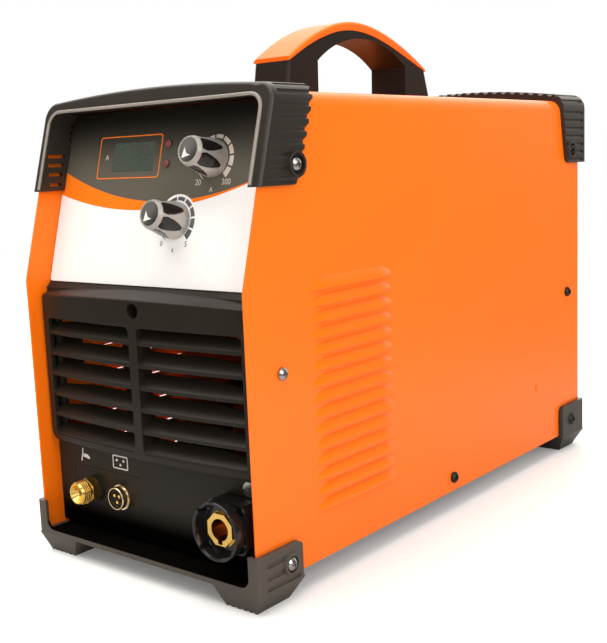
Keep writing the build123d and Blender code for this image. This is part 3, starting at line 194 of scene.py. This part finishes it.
def soft_touch(name, colour):
    """Rubbery overmoulding with a silky surface."""
    look = Look(name)
    fine = look.noise(1500.0, 3.0)
    base = look.mix(scaled(colour, 0.93), scaled(colour, 1.06), look.noise(30.0, 2.0))
    rounded = look.round_edges(0.6 * MM)
    return look.finish(
        Base_Color=base, Roughness=look.span(fine, 0.3, 0.7, 0.36, 0.46), Sheen_Weight=0.03,
        Sheen_Roughness=0.4, Normal=look.bump(fine, 0.01 * MM, rounded), Specular_IOR_Level=0.25,
    )


def metal(name, colour, rough, brushed=None, edge_radius=0.25 * MM, stain=0.12):
    """Bare or plated metal. brushed stretches the scratches along an axis."""
    look = Look(name)
    scratch = look.noise(420.0, 4.0, 0.7, stretch=brushed or (1.0, 1.0, 1.0))
    cloud = look.noise(60.0, 3.0)
    base = look.mix(colour, scaled(colour, 1.0 - stain), look.span(cloud, 0.35, 0.75))
    base = look.mix(base, scaled(colour, 0.8), look.span(scratch, 0.55, 0.8, 0.0, 0.6))
    rounded = look.round_edges(edge_radius)
    roughness = look.span(scratch, 0.3, 0.75, rough * 0.8, rough * 1.4)
    return look.finish(
        Base_Color=base, Metallic=1.0, Roughness=roughness, Normal=look.bump(scratch, 0.008 * MM, rounded),
    )


def satin_paint(name, colour):
    """Satin silver paint: fine metal flakes under a thin clear layer."""
    look = Look(name)
    flake = look.cells(2400.0)
    base = look.mix(scaled(colour, 0.86), scaled(colour, 1.2), flake)
    return look.finish(
        Base_Color=base, Metallic=0.45, Roughness=look.span(flake, 0.1, 0.7, 0.34, 0.44),
        Coat_Weight=0.25, Coat_Roughness=0.2, Normal=look.round_edges(0.35 * MM),
    )


def galvanised(name):
    """Zinc-plated sheet with its crystal flakes."""
    look = Look(name)
    flake = look.add("TexVoronoi", {"Vector": look.place, "Scale": 140.0}).outputs["Color"]
    tone = look.add("RGBToBW", {0: flake}).outputs[0]
    base = look.mix((0.42, 0.43, 0.44), (0.66, 0.67, 0.68), tone)
    return look.finish(
        Base_Color=base, Metallic=1.0, Roughness=look.span(tone, 0.0, 1.0, 0.32, 0.5),
        Normal=look.bump(look.noise(700.0), 0.01 * MM, look.round_edges(0.3 * MM)),
    )


def circuit_board(name):
    """Green solder mask with faint copper tracks under it."""
    look = Look(name)
    x, y, z = look.axes()
    run = look.calc("PINGPONG", look.calc("ADD", x, look.calc("MULTIPLY", look.noise(30.0), 6.0)), 2.5)
    track = look.span(run, 0.9, 1.2)
    base = look.mix((0.004, 0.05, 0.02), (0.012, 0.11, 0.045), track)
    return look.finish(Base_Color=base, Roughness=0.3, Coat_Weight=0.3, Normal=look.bump(track, 0.03 * MM))


def glassy(name, colour, rough, lift=1.6):
    """Dark clear lens with a faint random tone change."""
    look = Look(name)
    fine = look.noise(800.0, 2.0)
    base = look.mix(colour, scaled(colour, lift), look.noise(20.0))
    return look.finish(
        Base_Color=base, Roughness=look.span(fine, 0.3, 0.7, rough, rough + 0.05), Coat_Weight=0.6,
        Coat_Roughness=0.08, Normal=look.round_edges(0.2 * MM),
    )


def wound_wire(name, colour, pitch, axis):
    """Enamelled or insulated wire lying side by side across axis, with painted shade in the grooves between
    turns.
    """
    look = Look(name)
    turn = look.calc("PINGPONG", look.axes()[axis], pitch / 2)
    height = look.span(turn, 0.0, pitch / 2)
    # Painted shade: the colour darkens in the grooves between turns.
    base = look.mix(scaled(colour, 0.35), colour, height)
    return look.finish(
        Base_Color=base, Roughness=0.35, Coat_Weight=0.3,
        Normal=look.bump(height, 0.4 * MM, look.round_edges(0.5 * MM)),
    )


CONTROL_OUT = -Vector(joints["current_knob_turn"]["axis"])
CONTROL_UP = Vector((0.0, CONTROL_OUT.z, -CONTROL_OUT.y))
LEAN = -CONTROL_OUT.z / CONTROL_OUT.y
CURRENT_KNOB = (43.5, 255.7)      # (x, z) of the dials and the display, in millimetres
DELAY_KNOB = (18.4, 220.1)
DISC_R = 16.3
FILM_LEVEL = max(point.co.dot(CONTROL_OUT) for point in frame["nodes"]["control_overlay"].data.vertices)


def overlay_film(name):
    """Front film: grey above, darkening upward as painted shade, an orange swoosh, white below and a white
    disc at the lower dial.
    """
    look = Look(name)
    x, y, z = look.axes()

    def below(base, curve, centre):
        """1 under the arc z = base + curve * (x - centre) squared."""
        off = look.calc("SUBTRACT", x, centre)
        edge = look.calc("MULTIPLY_ADD", look.calc("MULTIPLY", off, off), curve, base)
        return look.span(look.calc("SUBTRACT", edge, z), -0.1, 0.1)

    # Painted shade: the grey darkens towards the top, under the visor's overhang.
    grey = look.mix((0.112, 0.100, 0.078), (0.010, 0.008, 0.006), look.span(z, 244.0, 286.0))
    across = look.calc("SUBTRACT", x, DELAY_KNOB[0])
    up = look.calc("MULTIPLY", look.calc("SUBTRACT", z, DELAY_KNOB[1]), math.hypot(1.0, LEAN))
    squares = look.calc("ADD", look.calc("MULTIPLY", across, across), look.calc("MULTIPLY", up, up))
    radius = look.calc("SQRT", squares)
    disc = look.span(radius, DISC_R + 0.1, DISC_R - 0.1)
    print_and_painted_shade = look.mix(grey, (0.95, 0.19, 0.008), below(231.6, 0.00217, 3.0))
    white = look.calc("MAXIMUM", below(226.5, 0.0018, -18.0), disc)
    print_and_painted_shade = look.mix(print_and_painted_shade, (0.86, 0.85, 0.84), white)
    grain = look.noise(1400.0, 3.0, 0.6)
    speck = look.span(grain, 0.55, 0.8, 0.0, 0.25)
    print_and_painted_shade = look.mix(print_and_painted_shade, look.mix(print_and_painted_shade, (0.5, 0.48, 0.45), 0.25), speck)
    return look.finish(
        Base_Color=print_and_painted_shade, Roughness=look.span(grain, 0.3, 0.7, 0.38, 0.46),
        Normal=look.bump(grain, 0.01 * MM, look.round_edges(0.2 * MM)), Specular_IOR_Level=0.14,
    )


def ink(name, colour):
    """Screen-printed ink with a slightly uneven body."""
    look = Look(name)
    patch = look.noise(900.0, 3.0)
    base = look.mix(scaled(colour, 0.92), scaled(colour, 1.05), patch)
    return look.finish(Base_Color=base, Roughness=look.span(patch, 0.3, 0.7, 0.4, 0.5))


def spun_cap(name, body_joint):
    """Spun metal cap: fine rings about the knob's axis and a painted highlight, bright towards the upper
    left and dark towards the lower right.
    """
    look = Look(name)
    centre = Vector(joints[body_joint]["pos_m"])
    offset = look.add("VectorMath", {0: look.place, 1: tuple(centre)}, operation="SUBTRACT").outputs[0]
    reach = look.add("VectorMath", {0: offset}, operation="LENGTH").outputs["Value"]
    ring = look.calc("PINGPONG", reach, 0.12 * MM)
    height = look.calc("MULTIPLY", ring, 1.0 / MM)
    side = look.add("SeparateXYZ", {0: offset}).outputs
    # Painted highlight: the colour runs from dark to bright across the cap.
    painted_highlight = look.span(look.calc("SUBTRACT", side["Z"], side["X"]), -6.0 * MM, 9.0 * MM)
    base = look.mix((0.08, 0.076, 0.072), (0.42, 0.40, 0.385), painted_highlight)
    return look.finish(
        Base_Color=base, Metallic=0.9, Roughness=0.3, Anisotropic=0.6, Normal=look.bump(height, 0.02 * MM),
    )


WARM_BLACK = (0.0145, 0.0125, 0.0105)
ORANGE = (0.93, 0.163, 0.004)
BRASS = (0.90, 0.58, 0.16)

looks = {
    "orange_paint": painted_sheet("orange_paint", ORANGE),
    "orange_soft": soft_touch("orange_soft", (0.90, 0.155, 0.004)),
    "galvanised_sheet": galvanised("galvanised_sheet"),
    "black_plastic": moulded("black_plastic", WARM_BLACK, 0.42),
    "panel_plastic": moulded(
        "panel_plastic", (0.019, 0.015, 0.010), 0.5, grain=0.012, edge_highlight=1.6, shade=low_shade,
    ),
    # Painted light: a lighter black than the other plastics, matching the lit side of the front corner
    # guard.
    "lit_guard_plastic": moulded("lit_guard_plastic", (0.070, 0.058, 0.047), 0.44, specular=0.3, shade=inside_shade),
    "visor_plastic": moulded("visor_plastic", (0.022, 0.0175, 0.0135), 0.36, grain=0.012, specular=0.42),
    "grille_plastic": moulded("grille_plastic", (0.016, 0.0125, 0.009), 0.34, grain=0.010),
    "gloss_plastic": moulded("gloss_plastic", (0.008, 0.007, 0.007), 0.16, grain=0.004, coat=0.4),
    "overlay_film": overlay_film("overlay_film"),
    "screw_steel": metal("screw_steel", (0.46, 0.44, 0.42), 0.2),
    "black_screw": metal("black_screw", (0.05, 0.048, 0.045), 0.35),
    "clear_lens": glassy("clear_lens", (0.040, 0.052, 0.040), 0.24),
    "display_grey": moulded("display_grey", (0.05, 0.06, 0.06), 0.4),
    "led_red": glassy("led_red", (0.14, 0.035, 0.03), 0.25),
    "board_green": circuit_board("board_green"),
    "brass": metal("brass", BRASS, 0.17, brushed=(1.0, 5.0, 1.0)),
    "plated_collar": metal("plated_collar", (0.86, 0.68, 0.46), 0.16, brushed=(1.0, 5.0, 1.0)),
    "chromed_wire": metal("chromed_wire", (0.8, 0.8, 0.8), 0.12),
    "lever_red": moulded("lever_red", (0.35, 0.015, 0.01), 0.35, edge_highlight=1.3),
    "coil_plastic": moulded("coil_plastic", (0.02, 0.02, 0.022), 0.4),
    "hose_rubber": moulded("hose_rubber", (0.012, 0.012, 0.012), 0.55),
    "aluminium": metal("aluminium", (0.78, 0.79, 0.80), 0.3, brushed=(1.0, 0.1, 1.0)),
    "ferrite": moulded("ferrite", (0.03, 0.03, 0.033), 0.6, grain=0.15),
    "copper": wound_wire("copper", (0.62, 0.20, 0.07), 1.6, 2),
    "coil_wire": wound_wire("coil_wire", (0.4, 0.02, 0.015), 3.0, 1),
    "knob_silver": satin_paint("knob_silver", (0.42, 0.40, 0.37)),
    "knob_cap": spun_cap("knob_cap", "current_knob_turn"),
    "delay_cap": spun_cap("delay_cap", "delay_knob_turn"),
    "knob_rubber": moulded("knob_rubber", (0.010, 0.009, 0.009), 0.2, grain=0.01, coat=0.5),
    "shaft_steel": metal("shaft_steel", (0.6, 0.6, 0.6), 0.25),
}

SPECIAL_LOOKS = {
    "front_panel": "panel_plastic",
    "socket_plate": "panel_plastic",
    "front_bumper": "lit_guard_plastic",
    "rear_bumper": "visor_plastic",
    "rear_visor": "visor_plastic",
    "front_visor": "visor_plastic",
    "front_grille": "grille_plastic",
    "output_socket_body": "gloss_plastic",
    "delay_knob_cap": "delay_cap",
}


def dress_nodes():
    """Gives every CAD node the look of its material slot, or its own variant of it."""
    slots = {part["node"]: part["material_slot"] for part in frame["record"]["subparts"]}
    for node, thing in frame["nodes"].items():
        thing.data.materials.clear()
        thing.data.materials.append(looks[SPECIAL_LOOKS.get(node, slots[node])])


# ------------------------------------------------------------------ new pieces
def link_piece(name, data, look, body):
    thing = bpy.data.objects.new(name, data)
    bpy.context.scene.collection.objects.link(thing)
    data.materials.append(look)
    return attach(thing, body)


def mesh_piece(name, points, faces, look, body=MACHINE, smooth=False):
    mesh = bpy.data.meshes.new(name)
    mesh.from_pydata([tuple(p) for p in points], [], faces)
    mesh.update()
    for face in mesh.polygons:
        face.use_smooth = smooth
    return link_piece(name, mesh, look, body)


def control_point(x, z, out=0.0):
    """Point on the control film at x and z, in millimetres, or out in front of it."""
    y = (FILM_LEVEL - z * MM * CONTROL_OUT.z) / CONTROL_OUT.y
    return Vector((x * MM, y, z * MM)) + CONTROL_OUT * out * MM


def on_film(origin, across, up, out):
    """Point at across and up, measured in the plane of the film from origin, in millimetres."""
    return origin + Vector((across, 0, 0)) * MM + CONTROL_UP * up * MM + CONTROL_OUT * out * MM


INK_LIFT = 0.04
INK_TOP = 0.10


def printed(name, outlines, origin, look, body=MACHINE, lift=INK_LIFT, top=INK_TOP, place=on_film):
    """Closed slabs of ink. outlines holds convex or simple outlines of (across, up) points."""
    points, faces = [], []
    for outline in outlines:
        first, count = len(points), len(outline)
        points += [place(origin, a, u, lift) for a, u in outline]
        points += [place(origin, a, u, top) for a, u in outline]
        faces.append([first + i for i in reversed(range(count))])
        faces.append([first + count + i for i in range(count)])
        for i in range(count):
            j = (i + 1) % count
            faces.append([first + i, first + j, first + count + j, first + count + i])
    return mesh_piece(name, points, faces, look, body)


RING_START = math.radians(-151)
RING_PITCH = math.radians(29)
RING_COUNT = 10
RING_GAP = 0.55


def dial_ring():
    """Segments of a ring that grows wider clockwise from seven o'clock to five."""
    outlines = []
    end = RING_START + RING_PITCH * RING_COUNT
    for i in range(RING_COUNT):
        a0 = RING_START + RING_PITCH * i
        inner, outer = [], []
        for step in range(9):
            angle = a0 + RING_PITCH * step / 8
            share = (angle - RING_START) / (end - RING_START)
            r_out = 14.0 + 1.4 * share
            r_in = 13.7 - 2.2 * share
            trim = RING_GAP / 13 * (1 - step / 4)
            inner.append((r_in * math.sin(angle + trim), r_in * math.cos(angle + trim)))
            outer.append((r_out * math.sin(angle + trim), r_out * math.cos(angle + trim)))
        outlines.append(inner[::-1] + outer)
    return outlines


def frame_outlines(width, height, radius, line):
    """Rounded rectangular line as a run of short quads."""
    path = []
    for cx, cy, start in ((1, 1, 0), (-1, 1, 90), (-1, -1, 180), (1, -1, 270)):
        for step in range(7):
            a = math.radians(start + 15 * step)
            x = cx * (width / 2 - radius)
            y = cy * (height / 2 - radius)
            path.append((x, y, math.cos(a), math.sin(a)))
    quads = []
    for i in range(len(path)):
        x0, y0, c0, s0 = path[i]
        x1, y1, c1, s1 = path[(i + 1) % len(path)]
        r = radius - line
        quads.append([
            (x0 + radius * c0, y0 + radius * s0), (x1 + radius * c1, y1 + radius * s1),
            (x1 + r * c1, y1 + r * s1), (x0 + r * c0, y0 + r * s0),
        ])
    return [quad[::-1] for quad in quads]


def film_text(name, text, x, z, size, look, bold=0.0):
    """A number or a unit printed on the film, centred on x and z."""
    curve = bpy.data.curves.new(name, "FONT")
    curve.body = text
    curve.size = size * MM
    curve.align_x = "CENTER"
    curve.align_y = "CENTER"
    curve.extrude = 0.03 * MM
    curve.offset = bold * MM
    thing = bpy.data.objects.new(name, curve)
    bpy.context.scene.collection.objects.link(thing)
    turn = Matrix((Vector((1, 0, 0)), CONTROL_UP, CONTROL_OUT)).transposed().to_4x4()
    thing.matrix_world = Matrix.Translation(control_point(x, z, 0.07)) @ turn
    curve.materials.append(look)
    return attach(thing, MACHINE)


def film_prints():
    cream = ink("cream_ink", (0.60, 0.53, 0.47))
    dark = ink("dark_ink", (0.095, 0.10, 0.092))
    orange = ink("orange_ink", (0.90, 0.20, 0.012))
    printed("current_dial_ring", dial_ring(), control_point(*CURRENT_KNOB), cream)
    printed("delay_dial_ring", dial_ring(), control_point(*DELAY_KNOB), dark)
    middle = control_point(-31.7, 259.3)
    printed("display_frame", frame_outlines(58.0, 27.4, 2.2, 0.7), middle, orange)
    film_text("current_low", "20", 32.4, 242.3, 5.0, cream)
    film_text("current_high", "300", 55.0, 242.3, 5.0, cream)
    film_text("current_unit", "A", 43.6, 238.0, 4.4, cream)
    film_text("delay_low", "0", 7.8, 206.6, 4.6, dark)
    film_text("delay_high", "5", 28.6, 206.6, 4.6, dark)
    film_text("delay_unit", "s", 18.2, 203.2, 4.6, dark)
    film_text("display_unit", "A", -52.5, 259.4, 5.0, cream)


ARROW = [(-3.3, 1.6), (-4.6, -4.6), (1.9, -2.9), (-1.4, -1.9)]


def knob_arrow(name, body, place, look):
    """Raised pointer on a knob's cap, at its lowest setting."""
    origin = control_point(*place)
    cap = frame["nodes"][body.replace("_body", "_cap")]
    out = max((point.co - origin).dot(CONTROL_OUT) for point in cap.data.vertices)
    printed(name, [ARROW[::-1]], origin, look, body, out / MM - 0.02, out / MM + 0.12)


def tube(name, path, radius, look, closed=False, body=MACHINE):
    """Round bead along a path of points in metres."""
    curve = bpy.data.curves.new(name, "CURVE")
    curve.dimensions = "3D"
    curve.bevel_depth = radius * MM
    curve.bevel_resolution = 3
    curve.use_fill_caps = True
    line = curve.splines.new("POLY")
    line.points.add(len(path) - 1)
    for point, place in zip(line.points, path):
        point.co = (*place, 1.0)
    line.use_cyclic_u = closed
    return link_piece(name, curve, look, body)


RIM_HALF, RIM_TOP, RIM_LOW = 92.1, 290.1, 240.6
RIM_CORNER = 9.0
RIM_R = 1.15
VISOR_FACE_Y, VISOR_FOOT_Z, VISOR_LEAN = -196.9, 240.2, 0.289


def rim_bead(look):
    """Bead round the mouth of the front visor, given a light colour as a painted highlight."""
    outline = [(-RIM_HALF, RIM_LOW)]
    for side, first in ((-1, 180), (1, 90)):
        for step in range(10):
            a = math.radians(first - 10 * step)
            x = side * (RIM_HALF - RIM_CORNER) + RIM_CORNER * math.cos(a)
            outline.append((x, RIM_TOP - RIM_CORNER + RIM_CORNER * math.sin(a)))
    outline.append((RIM_HALF, RIM_LOW))
    path = [(x * MM, (VISOR_FACE_Y + VISOR_LEAN * (z - VISOR_FOOT_Z)) * MM, z * MM) for x, z in outline]
    return tube("visor_rim_bead", path, RIM_R, look)


LEDS = ((3.6, 266.0), (3.7, 254.0))   # (x, z) of the indicator lamps
LENS_R = 2.3
LENS_SIDES = 28


def led_lenses(look):
    """Low round lenses of the two indicator lamps."""
    for name, place in zip(("upper_led_lens", "lower_led_lens"), LEDS):
        origin = control_point(*place)
        rings = ((LENS_R, 0.02), (LENS_R, 1.2), (LENS_R - 0.35, 1.55), (LENS_R * 0.5, 1.64))
        points = [on_film(origin, 0, 0, 1.68)]
        faces = []
        count = LENS_SIDES
        for radius, out in rings:
            for i in range(count):
                a = math.tau * i / count
                points.append(on_film(origin, radius * math.cos(a), radius * math.sin(a), out))
        for ring in range(len(rings) - 1):
            for i in range(count):
                j = (i + 1) % count
                low, high = 1 + ring * count, 1 + (ring + 1) * count
                faces.append((low + i, low + j, high + j, high + i))
        last = 1 + (len(rings) - 1) * count
        faces += [(last + i, last + (i + 1) % count, 0) for i in range(count)]
        faces.append([1 + i for i in reversed(range(count))])
        mesh_piece(name, points, faces, look, smooth=True)


OUTLET = (-58.5, 45.1)            # (x, z) of the torch outlet
THREAD_R = 7.4
THREAD_FRONT_Y = -210.2
THREAD_PITCH = 1.45
THREAD_TURNS = 4
THREAD_STEPS = 40                 # points in each turn


def outlet_thread(look):
    """Thread ridge wound along the torch outlet's nose."""
    path = []
    for i in range(THREAD_TURNS * THREAD_STEPS + 1):
        a = math.tau * i / THREAD_STEPS
        x = OUTLET[0] + THREAD_R * math.cos(a)
        y = THREAD_FRONT_Y + THREAD_PITCH * i / THREAD_STEPS
        z = OUTLET[1] + THREAD_R * math.sin(a)
        path.append((x * MM, y * MM, z * MM))
    return tube("torch_outlet_thread", path, 0.32, look)


PANEL_FACE_Y = -195.0


def on_panel(origin, across, up, out):
    """Point on the upright connector panel."""
    return origin + Vector((across, -out, up)) * MM


def panel_marks(look):
    """Generic pictograms over the two small connectors: a torch and a control plug."""
    torch_at = Vector((-67.6, PANEL_FACE_Y, 66.0)) * MM
    handle = [(-4.2, -4.0), (-3.2, -4.4), (-1.6, 0.6), (-1.4, 4.6), (-2.2, 4.8), (-2.6, 0.9)]
    head = [(-1.6, -1.2), (4.6, -2.2), (5.0, -1.0), (2.6, 0.8), (-1.2, 0.9)]
    printed("torch_mark", [handle, head], torch_at, look, place=on_panel)
    plug_at = Vector((-32.5, PANEL_FACE_Y, 66.2)) * MM
    box = frame_outlines(14.5, 9.0, 1.2, 0.8)
    pins = []
    for a, u in ((-3.2, 1.2), (3.2, 1.2), (0.0, -1.6)):
        pins.append([(a - 0.8, u - 0.8), (a + 0.8, u - 0.8), (a + 0.8, u + 0.8), (a - 0.8, u + 0.8)])
    printed("plug_mark", box + pins, plug_at, look, place=on_panel)


# ------------------------------------------------------------------ studio
def softbox(name, at, toward, size, power, colour=(1.0, 1.0, 1.0)):
    light = bpy.data.lights.new(name, "AREA")
    light.shape = "RECTANGLE"
    light.size, light.size_y = size
    light.energy = power
    light.color = colour
    lamp = bpy.data.objects.new(name, light)
    bpy.context.scene.collection.objects.link(lamp)
    lamp.location = at
    lamp.rotation_mode = "QUATERNION"
    lamp.rotation_quaternion = (Vector(toward) - Vector(at)).to_track_quat("-Z", "Y")
    lamp.visible_camera = False
    return lamp


def studio_world():
    """White to the camera; otherwise a dim room, brighter overhead and bright behind the machine."""
    world = bpy.data.worlds.new("studio")
    bpy.context.scene.world = world
    world.use_nodes = True
    tree = world.node_tree
    tree.nodes.clear()

    def add(kind, **settings):
        node = tree.nodes.new("ShaderNode" + kind)
        for name, value in settings.items():
            setattr(node, name, value)
        return node

    coords = add("TexCoord")
    split = add("SeparateXYZ")
    ramp = add("MapRange", interpolation_type="SMOOTHSTEP")
    ramp.inputs["From Min"].default_value = -0.1
    ramp.inputs["From Max"].default_value = 0.9
    ramp.inputs["To Min"].default_value = 0.06
    ramp.inputs["To Max"].default_value = 0.42
    room = add("Background")
    white = add("Background")
    white.inputs["Strength"].default_value = 1.0
    path = add("LightPath")
    mix = add("MixShader")
    out = add("OutputWorld")
    join = tree.links.new
    join(coords.outputs["Generated"], split.inputs[0])
    join(split.outputs["Z"], ramp.inputs["Value"])
    away = add("VectorMath", operation="DOT_PRODUCT")
    away.inputs[1].default_value = (-0.63, 0.77, 0.0)
    backdrop = add("MapRange", interpolation_type="SMOOTHSTEP")
    backdrop.inputs["From Min"].default_value = 0.2
    backdrop.inputs["From Max"].default_value = 0.95
    backdrop.inputs["To Max"].default_value = 2.2
    total = add("Math", operation="ADD")
    join(coords.outputs["Generated"], away.inputs[0])
    join(away.outputs["Value"], backdrop.inputs["Value"])
    join(ramp.outputs[0], total.inputs[0])
    join(backdrop.outputs[0], total.inputs[1])
    join(total.outputs[0], room.inputs["Strength"])
    room.inputs["Color"].default_value = (1.0, 0.95, 0.88, 1.0)
    white.inputs["Color"].default_value = (1.0, 1.0, 1.0, 1.0)
    join(path.outputs["Is Camera Ray"], mix.inputs[0])
    join(room.outputs[0], mix.inputs[1])
    join(white.outputs[0], mix.inputs[2])
    join(mix.outputs[0], out.inputs["Surface"])


FLOOR_LIFT = 0.09                 # light added to the floor in the picture, to soften its shadows


def studio_floor():
    """Pale floor that melts into the white surroundings."""
    side = 30.0
    mesh = bpy.data.meshes.new("floor")
    corners = [(-side, -side, 0), (side, -side, 0), (side, side, 0), (-side, side, 0)]
    mesh.from_pydata(corners, [], [(0, 1, 2, 3)])
    floor = bpy.data.objects.new("floor", mesh)
    bpy.context.scene.collection.objects.link(floor)
    look = Look("floor_paint")
    far = look.add("VectorMath", {0: look.place}, operation="LENGTH").outputs["Value"]
    seen = look.add("LightPath").outputs["Is Camera Ray"]
    share = look.calc("MULTIPLY", look.span(far, 0.7, 2.6), seen)
    tone = look.mix((0.90, 0.90, 0.90), (0.93, 0.93, 0.93), look.noise(40.0))
    mirrored = look.add("LightPath").outputs["Is Glossy Ray"]
    dull = look.calc("MULTIPLY", look.span(far, 0.32, 0.8, 0.45, 0.9), mirrored)
    tone = look.mix(tone, (0.05, 0.045, 0.04), dull)
    look.finish(Base_Color=tone, Roughness=0.6, Specular_IOR_Level=0.1)
    lift = look.calc("MULTIPLY", seen, FLOOR_LIFT)
    look.finish(Emission_Color=(1.0, 1.0, 1.0), Emission_Strength=lift)
    white = look.add("Emission", {"Color": (1.0, 1.0, 1.0), "Strength": 1.0})
    mix = look.add("MixShader", {0: share, 1: look.skin.outputs[0], 2: white.outputs[0]})
    output = look.tree.nodes["Material Output"]
    look.tree.links.new(mix.outputs[0], output.inputs["Surface"])
    mesh.materials.append(look.material)


def studio_lights():
    softbox("overhead", (-0.2, -0.2, 1.7), (0, 0, 0.1), (2.4, 2.0), 46.0, (1.0, 0.97, 0.93))
    softbox("side_fill", (2.0, -0.7, 1.1), (0.1, 0, 0.15), (1.4, 1.6), 23.0)
    softbox("front_fill", (0.9, -2.2, 1.0), (0, -0.1, 0.15), (1.2, 1.0), 10.0, (1.0, 0.96, 0.90))


CAMERA_AT = (0.4685, -0.6147, 0.2525)
CAMERA_AZIMUTH, CAMERA_PITCH, CAMERA_ROLL = 39.36, -8.83, 2.4
FOCAL_SHARE = 1.6079              # focal length over the image's long side


def studio_camera():
    data = bpy.data.cameras.new("camera")
    data.sensor_width = 36.0
    data.lens = 36.0 * FOCAL_SHARE
    data.clip_start = 0.01
    camera = bpy.data.objects.new("camera", data)
    bpy.context.scene.collection.objects.link(camera)
    turn = Matrix.Rotation(math.radians(CAMERA_AZIMUTH), 3, "Z")
    turn = turn @ Matrix.Rotation(math.radians(CAMERA_PITCH), 3, "X")
    turn = turn @ Matrix.Rotation(math.radians(CAMERA_ROLL), 3, "Y")
    right, forward, up = turn.col
    camera.matrix_world = Matrix.Translation(CAMERA_AT) @ Matrix((right, up, -forward)).transposed().to_4x4()
    bpy.context.scene.camera = camera


def studio():
    studio_world()
    studio_floor()
    studio_lights()
    studio_camera()
    bpy.context.scene.view_settings.view_transform = "Standard"


dress_nodes()
film_prints()
# Painted highlight: the bead is coloured light grey.
rim_bead(moulded("rim_painted_highlight", (0.24, 0.21, 0.18), 0.3, grain=0.02, edge_highlight=1.2, coat=0.2))
led_lenses(looks["led_red"])
outlet_thread(looks["brass"])
panel_marks(ink("mark_ink", (0.66, 0.62, 0.58)))
pointer = ink("pointer_ink", (0.80, 0.76, 0.72))
knob_arrow("current_knob_arrow", "current_knob_body", CURRENT_KNOB, pointer)
knob_arrow("delay_knob_arrow", "delay_knob_body", DELAY_KNOB, pointer)
studio()
